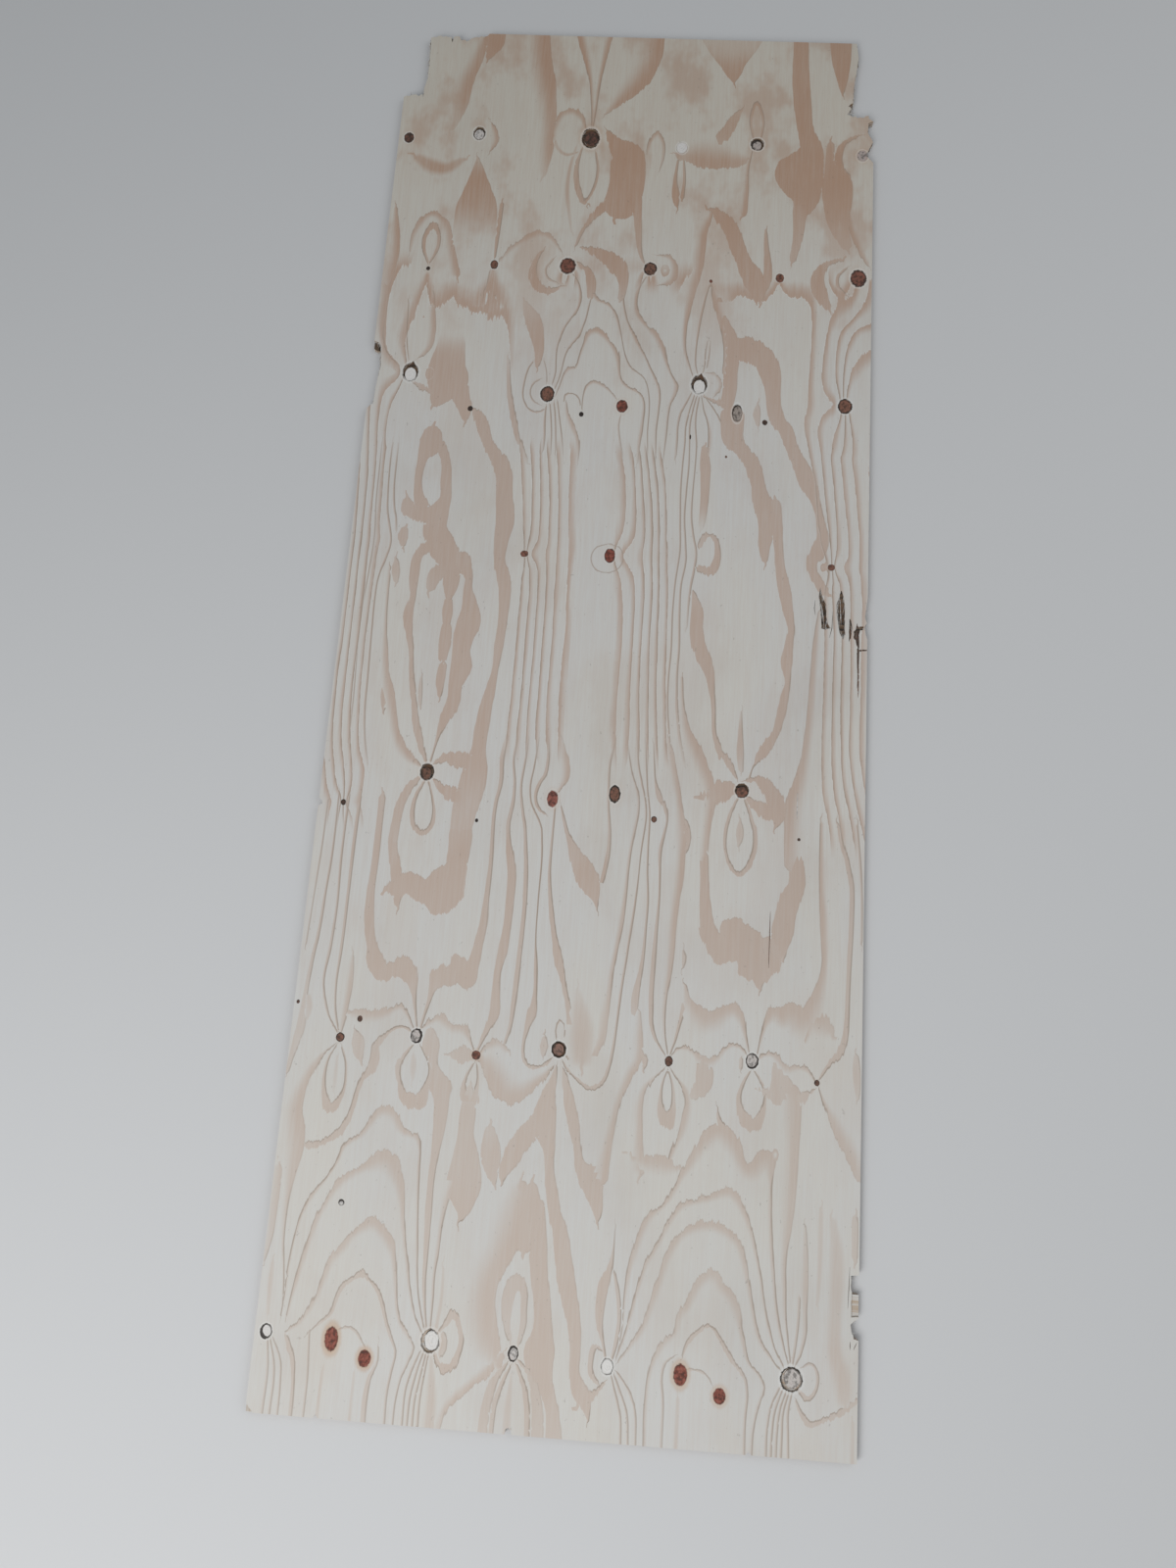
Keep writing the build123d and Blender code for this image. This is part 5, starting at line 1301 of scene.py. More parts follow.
def knot_finish(tree, base, settings, place):
    """Lays the knots over a base colour: plug, rings in it, black gap of bark and painted shadow, black rim
    and stain round it.
    """
    across, lengthwise, width = tree.parts(tree.attribute("knot_place", "Vector"))
    dark, red, rim_black = tree.parts(tree.attribute("knot_look", "Vector"))
    halo, lean_x, lean_y = tree.parts(tree.attribute("knot_seat", "Vector"))
    rough_edge = tree.noise(tree.stretch(place, KNOT_EDGE), detail=3, rough=0.6)
    stray = tree.math("MULTIPLY", tree.math("SUBTRACT", rough_edge, 0.5), 0.35)
    radii = []
    for shift_x, shift_y in ((0.0, 0.0), (lean_x, lean_y)):
        flat = tree.add("CombineXYZ")
        tree.feed(flat.inputs[0], tree.math("SUBTRACT", across, shift_x))
        tree.feed(flat.inputs[1], tree.math("SUBTRACT", lengthwise, shift_y))
        radii.append(tree.math("ADD", tree.vector_math("LENGTH", flat.outputs[0]), stray))
    ragged, from_plug = radii
    inside = tree.math("SUBTRACT", 1.0, tree.between(ragged, 0.94, 1.0))
    hue = tree.blend(red, solid(settings.knot_brown), solid(settings.knot_red))
    bark_and_shade = solid(settings.bark_and_shade_colour)
    body = tree.blend(tree.between(dark, 0.0, 0.4), solid(settings.plug_colour), hue)
    body = tree.blend(tree.between(dark, 0.5, 1.0), body, bark_and_shade)
    rings = tree.math("FRACT", tree.math("MULTIPLY_ADD", from_plug, 3.0, rough_edge))
    ring_depth_seen = tree.math("MULTIPLY_ADD", dark, 0.5, 0.12)
    ring_lines = tree.math("MULTIPLY", tree.between(rings, 0.55, 0.95), ring_depth_seen)
    body = tree.blend(ring_lines, body, bark_and_shade)
    blotch = tree.noise(tree.stretch(place, KNOT_BLOTCHES), detail=4, rough=0.65)
    lit = tree.math("MULTIPLY", tree.between(blotch, 0.52, 0.36), tree.math("MULTIPLY", red, 0.45))
    body = tree.blend(lit, body, solid(settings.knot_bright))
    mottled = tree.math("MULTIPLY", tree.between(blotch, 0.50, 0.60), tree.between(dark, 0.03, 0.15))
    body = tree.blend(tree.math("MULTIPLY", mottled, 0.6), body, bark_and_shade)
    # Where the plug leans off, its gap is painted near black: bark and painted shadow in the hole.
    lean = tree.math("ADD", tree.math("ABSOLUTE", lean_x), tree.math("ABSOLUTE", lean_y))
    plug_edge = tree.math("MULTIPLY_ADD", lean, -0.6, 1.0)
    gap = tree.between(tree.math("SUBTRACT", from_plug, plug_edge), -0.04, 0.05)
    gap = tree.math("MULTIPLY", gap, tree.between(lean, 0.0, 0.1))
    body = tree.blend(tree.math("MULTIPLY", gap, 0.95), body, bark_and_shade)
    rim_in = tree.between(ragged, tree.math("MULTIPLY_ADD", rim_black, -0.2, 0.95), 0.96)
    rim_out = tree.math("SUBTRACT", 1.0, tree.between(ragged, 1.0, 1.08))
    broken = tree.between(tree.noise(tree.stretch(place, KNOT_RIM), detail=1), 0.30, 0.48)
    rim = tree.math("MULTIPLY", tree.math("MULTIPLY", rim_in, rim_out), rim_black)
    rim = tree.math("MULTIPLY", rim, tree.math("MULTIPLY_ADD", broken, 0.6, 0.4), clamp=True)
    big = tree.between(width, 10.0, 16.0)
    pale_ring = tree.math("MULTIPLY", tree.between(ragged, 1.02, 1.1), tree.between(ragged, 1.32, 1.2))
    pale_ring = tree.math("MULTIPLY", tree.math("MULTIPLY", pale_ring, big), 0.4)
    base = tree.blend(pale_ring, base, solid(settings.highlight_and_pale_ring_colour))
    stain_fall = tree.math("SUBTRACT", 1.0, tree.between(ragged, 1.0, 1.8))
    stain = tree.math("MULTIPLY", tree.math("MULTIPLY", stain_fall, halo), 0.8)
    colour = tree.blend(stain, base, solid(settings.stain_colour))
    colour = tree.blend(inside, colour, body)
    sunk = tree.math("MAXIMUM", rim, tree.math("MULTIPLY", gap, inside))
    return tree.blend(rim, colour, bark_and_shade), sunk


def face_veneer(settings):
    """The good face: peeled figure, fibres, knots and a little dirt, with painted shade toward the head and
    a painted highlight on each ring's step.
    """
    material, tree, shader = new_material("face_veneer")
    place = tree.add("TexCoord").outputs["Object"]
    fibre = tree.use(wood_fibre(), Place=place)
    jitter = tree.noise(tree.stretch(place, FIBRES), detail=3, rough=0.6)
    fingers = tree.noise(tree.stretch(place, FINGERS), detail=1, rough=0.5)
    stray = tree.math("MULTIPLY", tree.math("SUBTRACT", jitter, 0.5), settings.fibre_stray)
    stray = tree.math("MULTIPLY_ADD", tree.math("SUBTRACT", fingers, 0.5), settings.finger_stray, stray)
    rings = tree.math("ADD", tree.attribute("rings"), stray)
    crowding = tree.attribute("crowding")
    late, step, line = latewood(tree, rings, crowding, tree.attribute("late_share"))
    strength = tree.attribute("ring_strength")
    late = tree.math("MULTIPLY", late, strength)
    step = tree.math("MULTIPLY", step, strength)
    line = tree.math("MULTIPLY", line, strength)
    flames, flame_line = flame_cover(tree, jitter, fingers)
    late = tree.math("MAXIMUM", late, flames)
    line = tree.math("MAXIMUM", line, flame_line)
    up = tree.parts(place)[1]
    # The latewood turns paler toward the foot.
    middle = tree.between(up, -0.75, -0.25)
    late_colour = tree.blend(middle, solid(settings.foot_late_colour), solid(settings.late_colour))
    # Toward the head the latewood turns darker and browner: partly its own tone, partly painted shade.
    late_colour = tree.blend(tree.between(up, 0.3, 1.0), late_colour, solid(settings.shaded_head_late_colour))
    patches = tree.noise(tree.stretch(place, PATCHES), detail=3, rough=0.55)
    creamy = tree.between(patches, 0.35, 0.7)
    early = tree.blend(creamy, solid(settings.early_colour), solid(settings.cream_colour))
    # Toward the head the pale wood also turns darker and browner: partly its own tone, partly painted
    # shade.
    early = tree.blend(tree.between(up, 0.3, 1.1), early, solid(settings.shaded_head_early_colour))
    streaked = tree.between(fibre["Streaks"], 0.36, 0.66)
    early = tree.blend(tree.math("MULTIPLY", streaked, 0.20), early, late_colour)
    clouds = tree.noise(tree.stretch(place, CLOUDS), detail=4, rough=0.6)
    cloud_depth = tree.math("MULTIPLY_ADD", tree.between(up, 0.4, 0.9), 0.40, 0.12)
    clouded = tree.math("MULTIPLY", tree.between(clouds, 0.48, 0.62), cloud_depth)
    early = tree.blend(clouded, early, late_colour)
    late_depth = tree.math("MULTIPLY_ADD", fibre["Streaks"], 0.9, 0.45)
    depth = tree.math("MULTIPLY", late, late_depth, clamp=True)
    wood = tree.blend(depth, early, late_colour)
    wood = tree.blend(tree.math("MULTIPLY", line, 0.75), wood, solid(settings.thin_late_colour))
    # The step beside each ring's edge is brightened: a painted highlight.
    wood = tree.blend(tree.math("MULTIPLY", step, 0.35), wood, solid(settings.highlight_and_pale_ring_colour))
    wood, sunk = knot_finish(tree, wood, settings, place)
    tree.feed(shader.inputs["Base Color"], dusted(tree, wood, place, settings))
    sheen = tree.math("MULTIPLY_ADD", late, -0.10, 0.66)
    tree.feed(shader.inputs["Roughness"], tree.math("MULTIPLY_ADD", fibre["Streaks"], 0.08, sheen))
    relief = tree.math("MULTIPLY_ADD", late, 0.5, tree.math("MULTIPLY", fibre["Height"], 0.35))
    relief = tree.math("MULTIPLY_ADD", sunk, -1.5, relief)
    raise_grain(tree, shader, relief, 0.25)
    return material


def layered_wood(tree, place, settings):
    """Veneers seen from the side: which one, how near its glue line, and fibres or end grain."""
    ply = tree.math("DIVIDE", tree.parts(place)[2], PLY * MM)
    bend = tree.noise(tree.stretch(place, (30, 30, 0)), detail=2)
    ply = tree.math("MULTIPLY_ADD", tree.math("SUBTRACT", bend, 0.5), 0.10, ply)
    part = tree.math("FRACT", ply)
    from_line = tree.math("MINIMUM", part, tree.math("SUBTRACT", 1.0, part))
    glue = tree.math("SUBTRACT", 1.0, tree.between(from_line, 0.02, 0.08))
    odd = tree.math("FLOORED_MODULO", tree.math("FLOOR", ply), 2.0)
    normal = tree.parts(tree.add("NewGeometry").outputs["Normal"])
    lengthwise, across = tree.math("ABSOLUTE", normal[1]), tree.math("ABSOLUTE", normal[0])
    facing_end = tree.math("GREATER_THAN", lengthwise, across)
    end_grain = tree.math("ABSOLUTE", tree.math("SUBTRACT", facing_end, odd))
    along_x = tree.noise(tree.stretch(place, EDGE_FIBRES), detail=3, rough=0.6)
    pores = tree.noise(tree.stretch(place, PORES), detail=3, rough=0.65)
    fibres = tree.between(along_x, 0.3, 0.7)
    side = tree.blend(fibres, solid(settings.early_colour), solid(settings.late_colour))
    dark_ends = tree.between(pores, 0.35, 0.65)
    end = tree.blend(dark_ends, solid(settings.end_colour), solid(settings.end_dark_colour))
    wood = tree.blend(end_grain, side, end)
    wood = tree.blend(tree.math("MULTIPLY", glue, 0.8), wood, solid(settings.glue_colour))
    height_map = tree.math("MULTIPLY_ADD", pores, 0.6, tree.math("MULTIPLY", along_x, 0.6))
    return wood, tree.math("MULTIPLY_ADD", glue, -0.5, height_map)


def ply_edges(settings):
    """The sawn and torn edges: five veneers, side grain and end grain by turns, with dark glue lines."""
    material, tree, shader = new_material("ply_edges", 0.75)
    place = tree.add("TexCoord").outputs["Object"]
    wood, relief = layered_wood(tree, place, settings)
    tree.feed(shader.inputs["Base Color"], dusted(tree, wood, place, settings, 1.8))
    raise_grain(tree, shader, relief, 0.4)
    return material


# Below this the torn wood is still pale. The change takes this many millimetres up and down
FRESH_BELOW = -900
FRESH_BLEND = 10


def torn_ply(settings):
    """Inner veneer laid bare: its own ply's grain, weathered or fresh, with brown glue left on it. The
    weathered wood is dark brown to near black, partly dirt and partly painted shade in the pits.
    """
    material, tree, shader = new_material("torn_ply", 0.8)
    place = tree.add("TexCoord").outputs["Object"]
    x, y, height = tree.parts(place)
    odd = tree.math("FLOORED_MODULO", tree.math("ROUND", tree.math("DIVIDE", height, PLY * MM)), 2.0)
    turned = tree.add("CombineXYZ")
    for socket, value in zip(turned.inputs, (y, x, height)):
        tree.feed(socket, value)
    lengthwise = tree.use(wood_fibre(), Place=place, Coarse=0.6)["Streaks"]
    crosswise = tree.use(wood_fibre(), Place=turned.outputs[0], Coarse=0.6)["Streaks"]
    streaks = tree.math("ADD", tree.math("MULTIPLY", lengthwise, odd),
                        tree.math("MULTIPLY", crosswise, tree.math("SUBTRACT", 1.0, odd)))
    # Dark brown to near black: partly dirt, partly painted shade in the torn pits.
    weathered_and_shaded = tree.between(streaks, 0.40, 0.62)
    dirt_and_shade = tree.blend(weathered_and_shaded, solid(settings.bark_and_shade_colour), solid(settings.torn_dirt_and_shade_colour))
    patches = tree.noise(tree.stretch(place, GLUE_PATCHES), detail=4, rough=0.6)
    glued = tree.math("MULTIPLY", tree.between(patches, 0.50, 0.60), 0.7)
    dirt_and_shade = tree.blend(glued, dirt_and_shade, solid(settings.glue_colour))
    pale = tree.between(streaks, 0.35, 0.65)
    fresh = tree.blend(pale, solid(settings.end_colour), solid(settings.early_colour))
    old = tree.between(y, (FRESH_BELOW - FRESH_BLEND) * MM, (FRESH_BELOW + FRESH_BLEND) * MM)
    wood = tree.blend(old, fresh, dirt_and_shade)
    tree.feed(shader.inputs["Base Color"], wood)
    raise_grain(tree, shader, streaks, 0.8, 0.8)
    return material


def back_veneer(settings):
    """The plain back: flowing figure by rule, without the face's knots."""
    material, tree, shader = new_material("back_veneer")
    place = tree.add("TexCoord").outputs["Object"]
    fibre = tree.use(wood_fibre(), Place=place)
    drift = tree.noise(tree.stretch(place, (2.2, 0.6, 2.2)), detail=2, rough=0.4)
    jitter = tree.noise(tree.stretch(place, FIBRES), detail=3, rough=0.6)
    across = tree.parts(place)[0]
    rings = tree.math("MULTIPLY_ADD", across, 14.0, tree.math("MULTIPLY", drift, 16.0))
    rings = tree.math("MULTIPLY_ADD", jitter, 0.25, rings)
    late = latewood(tree, rings, 0.04, 0.45)[0]
    streaked = tree.math("MULTIPLY_ADD", fibre["Streaks"], 0.5, 0.55)
    depth = tree.math("MULTIPLY", late, streaked, clamp=True)
    wood = tree.blend(depth, solid(settings.early_colour), solid(settings.late_colour))
    tree.feed(shader.inputs["Base Color"], dusted(tree, wood, place, settings, 1.5))
    relief = tree.math("MULTIPLY_ADD", late, 0.5, tree.math("MULTIPLY", fibre["Height"], 0.35))
    raise_grain(tree, shader, relief, 0.25)
    return material


# Slivers left standing where the plies are torn. Each brink has its route from above, the way
# its slivers point, which is its plies' grain, the longest of them, and its plies, 0 at the back
Brink = namedtuple("Brink", "route lean longest plies")
LENGTHWISE, CROSSWISE, FACE_PLY = (0, 2, 4), (1, 3), (4,)

BRINKS = [
    # The top left corner: its ledge, the side above it and the worn end
    Brink([(-443, 1071), (-431, 1074), (-425, 1076), (-417, 1072), (-411, 1077)], (0, 1), 10, LENGTHWISE),
    Brink([(-408, 1086), (-403, 1117), (-404, 1165), (-406, 1203)], (-1, 0), 5, CROSSWISE),
    Brink([(-408, 1088), (-404, 1117), (-405, 1165), (-407, 1203)], (-0.1, -1), 15, LENGTHWISE),
    Brink([(-390, 1211), (-373, 1209), (-364, 1198), (-362, 1209), (-351, 1211)], (0, 1), 6, LENGTHWISE),
    Brink([(-346, 1202), (-332, 1202), (-322, 1209), (-300, 1212)], (0, 1), 6, LENGTHWISE),
    # The top right corner: its side, its ledge and the chewed edge below
    Brink([(414, 1185), (407, 1122), (406, 1086)], (1, 0), 6, CROSSWISE),
    Brink([(414, 1195), (408, 1122), (407, 1086)], (0.1, -1), 15, LENGTHWISE),
    Brink([(397, 1077), (403, 1072), (396, 1060), (415, 1052), (425, 1052), (434, 1057)],
          (0, 1), 11, LENGTHWISE),
    Brink([(404, 1070), (396, 1060), (414, 1052), (426, 1052)], (1, 0.1), 15, CROSSWISE),
    Brink([(434, 1041), (433, 1021), (438, 1011)], (1, 0), 6, CROSSWISE),
    Brink([(436, 990), (432, 977), (434, 967)], (1, 0), 7, CROSSWISE),
    Brink([(435, 1040), (434, 1021)], (0.15, -1), 12, LENGTHWISE),
    # The first strip torn out of the face
    Brink([(368, 42), (375, 40), (382, 42)], (0, 1), 16, FACE_PLY),
    Brink([(364, 98), (366, 73), (368, 50)], (0.10, -1), 20, FACE_PLY),
    Brink([(377, 52), (377, 82), (371, 94), (366, 110)], (-0.12, -1), 20, FACE_PLY),
    Brink([(367, 84), (370, 70), (372, 52)], (0.05, -1), 22, FACE_PLY),
    # The second strip
    Brink([(398, 36), (405, 24), (408, 32)], (0, 1), 16, FACE_PLY),
    Brink([(398, 101), (394, 74), (397, 46)], (0.10, -1), 20, FACE_PLY),
    Brink([(405, 98), (408, 78), (408, 50)], (-0.12, -1), 20, FACE_PLY),
    Brink([(399, 92), (400, 60)], (0, -1), 24, FACE_PLY),
    # The third strip and the pit beside it
    Brink([(415, 57), (414, 30)], (0.05, -1), 12, FACE_PLY),
    Brink([(420, 48), (419, 26)], (-0.05, 1), 12, FACE_PLY),
    Brink([(423, 36), (422, 26), (426, 23)], (0.1, 1), 11, FACE_PLY),
    Brink([(431, 45), (438, 43)], (-0.1, -1), 11, FACE_PLY),
    # The bite out of the left edge
    Brink([(-442, 545), (-434, 540), (-431, 528)], (0, -1), 13, (2, 4)),
    Brink([(-432, 524), (-429, 500), (-431, 470), (-434, 424)], (-1, 0), 5, CROSSWISE),
    Brink([(-432, 524), (-429, 500), (-431, 470), (-433, 440)], (-0.08, -1), 12, LENGTHWISE),
    Brink([(-443, 413), (-434, 421)], (0, 1), 12, LENGTHWISE),
    # The two notches in the right edge and the tab between them
    Brink([(434, -967), (443, -967)], (0, -1), 6, LENGTHWISE),
    Brink([(432, -972), (432, -988)], (1, 0), 8, CROSSWISE),
    Brink([(442, -1028), (433, -1034)], (0, -1), 9, LENGTHWISE),
    Brink([(432, -1037), (434, -1047)], (1, 0), 9, CROSSWISE),
    Brink([(433, -1047), (434, -1048.5)], (1, 0.03), 10, (4, 3)),
    Brink([(437, -1056), (443, -1057)], (-0.1, 1), 8, LENGTHWISE),
]


def brink_lines():
    """The brinks as lines at the middle of each of their plies, with their slivers' lean and length."""
    mesh = bpy.data.meshes.new("torn_slivers")
    places, edges, leans, longest = [], [], [], []
    for brink in BRINKS:
        for ply in brink.plies:
            for number, (x, y) in enumerate(brink.route):
                if number:
                    edges.append((len(places) - 1, len(places)))
                places.append((x * MM, y * MM, (ply + 0.5) * PLY * MM))
                leans.append((*brink.lean, 0))
                longest.append(brink.longest * MM)
    mesh.from_pydata(places, edges, [])
    store(mesh, "lean", "FLOAT_VECTOR", "POINT", np.array(leans))
    store(mesh, "longest", "FLOAT", "POINT", np.array(longest))
    return mesh


def by_name(sockets, identifier):
    return next(socket for socket in sockets if socket.identifier == identifier)


# Within this many millimetres of a face, slivers are pressed down to this share of their height
PRESSED_WITHIN = 0.7
PRESSED_SHARE = 0.3
# How far a root strays from its brink and is sunk into the wood, in metres, and how fine the crooks are
ROOT_STRAY = (0.0006, 0.0006, 0.0008)
ROOT_SUNK = 0.001
CROOK_SCALE = 130.0


def sliver_nodes():
    """Group: crooked tapered slivers along lines, pressed flat where they would pass the faces."""
    group, tree, (given, out) = new_group(
        "Torn Slivers",
        [("Brinks", SHAPES, None), ("Spacing", NUMBER, 0.0014), ("Width", NUMBER, 0.0007),
         ("Thickness", NUMBER, 0.0004), ("Stray", NUMBER, 0.09), ("Crook", NUMBER, 0.0012),
         ("Seed", WHOLE, 1), ("Wood", FINISH, None)],
        [("Slivers", SHAPES)],
        "GeometryNodeTree",
    )

    def chance(low, high, turn):
        """A random number for each sliver; each turn is its own draw."""
        node = tree.add("FunctionNodeRandomValue", data_type="FLOAT")
        for identifier, value in (("Min_001", low), ("Max_001", high),
                                  ("Seed", tree.math("ADD", given["Seed"], float(turn)))):
            tree.feed(by_name(node.inputs, identifier), value)
        return node.outputs[1]

    def chance_place(reach, turn):
        node = tree.add("FunctionNodeRandomValue", data_type="FLOAT_VECTOR")
        for identifier, value in (("Min", tuple(-r for r in reach)), ("Max", reach),
                                  ("Seed", tree.math("ADD", given["Seed"], float(turn)))):
            tree.feed(by_name(node.inputs, identifier), value)
        return node.outputs[0]

    def run(kind, *values, **choices):
        node = tree.add(kind, **choices)
        for name, value in zip(values[::2], values[1::2]):
            tree.feed(node.inputs[name], value)
        return node.outputs

    def named(name, kind):
        node = tree.add("GeometryNodeInputNamedAttribute", data_type=kind)
        node.inputs["Name"].default_value = name
        return node.outputs["Attribute"]

    def scaled(vector, factor):
        moved = tree.vector_math("SCALE", vector)
        tree.feed(moved.node.inputs["Scale"], factor)
        return moved

    lean = named("lean", "FLOAT_VECTOR")
    curve = run("GeometryNodeMeshToCurve", "Mesh", given["Brinks"])[0]
    roots = run("GeometryNodeCurveToPoints", "Curve", curve, "Length", given["Spacing"], mode="LENGTH")[0]
    sunk = tree.vector_math("ADD", chance_place(ROOT_STRAY, 0), scaled(lean, -ROOT_SUNK))
    roots = run("GeometryNodeSetPosition", "Geometry", roots, "Offset", sunk)[0]
    way = tree.vector_math("ADD", lean, scaled(chance_place((1, 1, 0.6), 1), given["Stray"]))
    turn = run("FunctionNodeAlignRotationToVector", "Vector", way, axis="Z")[0]
    turn = run("FunctionNodeAlignRotationToVector", "Rotation", turn, "Vector", (0, 0, 1),
               axis="X", pivot_axis="Z")[0]
    share = tree.math("POWER", chance(0.25, 1.0, 2), 2.0)
    size = run("CombineXYZ",
               "X", tree.math("MULTIPLY", given["Thickness"], chance(0.6, 1.6, 3)),
               "Y", tree.math("MULTIPLY", given["Width"], chance(0.4, 1.6, 4)),
               "Z", tree.math("MULTIPLY", named("longest", "FLOAT"), share))[0]
    sliver = run("GeometryNodeMeshCone", "Vertices", 5, "Side Segments", 4, "Radius Top", 0.0,
                 "Radius Bottom", 0.5, "Depth", 1.0, fill_type="NGON")[0]
    stood = run("GeometryNodeInstanceOnPoints", "Points", roots, "Instance", sliver,
                "Rotation", turn, "Scale", size)[0]
    stood = run("GeometryNodeStoreNamedAttribute", "Geometry", stood, "Name", "shade",
                "Value", chance(0.0, 1.0, 5), data_type="FLOAT", domain="INSTANCE")[0]
    shapes = run("GeometryNodeRealizeInstances", "Geometry", stood)[0]
    place = tree.add("GeometryNodeInputPosition").outputs[0]
    swirl = run("TexNoise", "Vector", place, "Scale", CROOK_SCALE, "Detail", 1.0)["Color"]
    bend = scaled(tree.vector_math("SUBTRACT", swirl, (0.5, 0.5, 0.5)), given["Crook"])
    shapes = run("GeometryNodeSetPosition", "Geometry", shapes, "Offset", bend)[0]
    x, y, height = tree.parts(place)
    middle = THICKNESS / 2 * MM
    free = middle - PRESSED_WITHIN * MM
    above = tree.math("SUBTRACT", height, middle)
    away = tree.math("ABSOLUTE", above)
    pressed = tree.math("MULTIPLY_ADD", tree.math("SUBTRACT", away, free), PRESSED_SHARE, free)
    kept = tree.math("MULTIPLY", tree.math("SIGN", above), tree.math("MINIMUM", away, pressed))
    flat = run("CombineXYZ", "X", x, "Y", y, "Z", tree.math("ADD", kept, middle))[0]
    shapes = run("GeometryNodeSetPosition", "Geometry", shapes, "Position", flat)[0]
    shapes = run("GeometryNodeSetMaterial", "Geometry", shapes, "Material", given["Wood"])[0]
    tree.feed(out["Slivers"], shapes)
    return group


def make_slivers(settings):
    """The slivers as one plain mesh, from the brinks and their geometry nodes."""
    slivers = bpy.data.objects.new("torn_slivers", brink_lines())
    bpy.context.scene.collection.objects.link(slivers)
    group = sliver_nodes()
    modifier = slivers.modifiers.new("slivers", "NODES")
    modifier.node_group = group
    values = {"Spacing": settings.sliver_spacing, "Width": settings.sliver_width,
              "Seed": settings.sliver_seed, "Wood": sliver_wood(settings)}
    for item in group.interface.items_tree:
        if item.name in values:
            modifier[item.identifier] = values[item.name]
    graph = bpy.context.evaluated_depsgraph_get()
    mesh = bpy.data.meshes.new_from_object(slivers.evaluated_get(graph), depsgraph=graph)
    slivers.modifiers.remove(modifier)
    slivers.data = mesh
    return slivers


def sliver_wood(settings):
    """Bare fibres, each sliver a little paler or darker."""
    material, tree, shader = new_material("sliver_wood", 0.75)
    place = tree.add("TexCoord").outputs["Object"]
    shade = tree.attribute("shade")
    grain = tree.noise(tree.stretch(place, (400, 400, 400)), detail=2)
    share = tree.between(tree.math("ADD", shade, tree.math("MULTIPLY", grain, 0.4)), 0.15, 0.6)
    colour = tree.blend(share, solid(settings.end_dark_colour), solid(settings.early_colour))
    tree.feed(shader.inputs["Base Color"], colour)
    return material


# Stage

SENSOR = 36.0               # millimetres along the picture's long side
CAMERA_SEES = 0.05, 60.0    # metres from the camera


def make_floor(settings):
    """A plain pale floor under the sheet."""
    reach = settings.floor_reach
    shape = bmesh.new()
    bmesh.ops.create_grid(shape, x_segments=1, y_segments=1, size=reach)
    mesh = bpy.data.meshes.new("floor")
    shape.to_mesh(mesh)
    shape.free()
    paint, _, shader = new_material("floor_paint", 0.9)
    shader.inputs["Base Color"].default_value = solid(settings.floor_colour)
    mesh.materials.append(paint)
    floor = bpy.data.objects.new("floor", mesh)
    bpy.context.scene.collection.objects.link(floor)


def add_area_light(name, place, aim, size, power):
    """A large soft light at a place, pointing at another."""
    data = bpy.data.lights.new(name, "AREA")
    data.shape = "SQUARE"
    data.size = size
    data.energy = power
    light = bpy.data.objects.new(name, data)
    light.location = place
    light.rotation_euler = (Vector(aim) - Vector(place)).to_track_quat("-Z", "Y").to_euler()
    bpy.context.scene.collection.objects.link(light)


def light_stage(settings):
    """Soft light from above the foot of the sheet, a weaker fill, and a pale surround."""
    add_area_light("key_light", (-1.2, -2.6, 2.6), (0, -0.7, 0), 2.2, settings.key_power)
    add_area_light("fill_light", (2.4, 0.6, 2.6), (0, 0, 0), 2.4, settings.fill_power)
    world = bpy.data.worlds.new("pale_surround")
    world.use_nodes = True
    background = world.node_tree.nodes["Background"]
    background.inputs["Color"].default_value = solid(settings.surround_colour)
    background.inputs["Strength"].default_value = settings.surround_strength
    bpy.context.scene.world = world


def add_camera(settings):
    """The camera at the photograph's viewing angle, for an image of 1200 by 1600."""
    data = bpy.data.cameras.new("camera")
    data.lens = settings.lens
    data.sensor_width = SENSOR
    data.clip_start, data.clip_end = CAMERA_SEES
    camera = bpy.data.objects.new("camera", data)
    camera.location = settings.camera_place
    camera.rotation_euler = Euler(settings.camera_turn)
    bpy.context.scene.collection.objects.link(camera)
    bpy.context.scene.camera = camera


# Settings, operators and panel

def colour_setting(name, default, description):
    return bpy.props.FloatVectorProperty(
        name=name, default=default, description=description, subtype="COLOR", size=3, min=0.0, max=1.0)


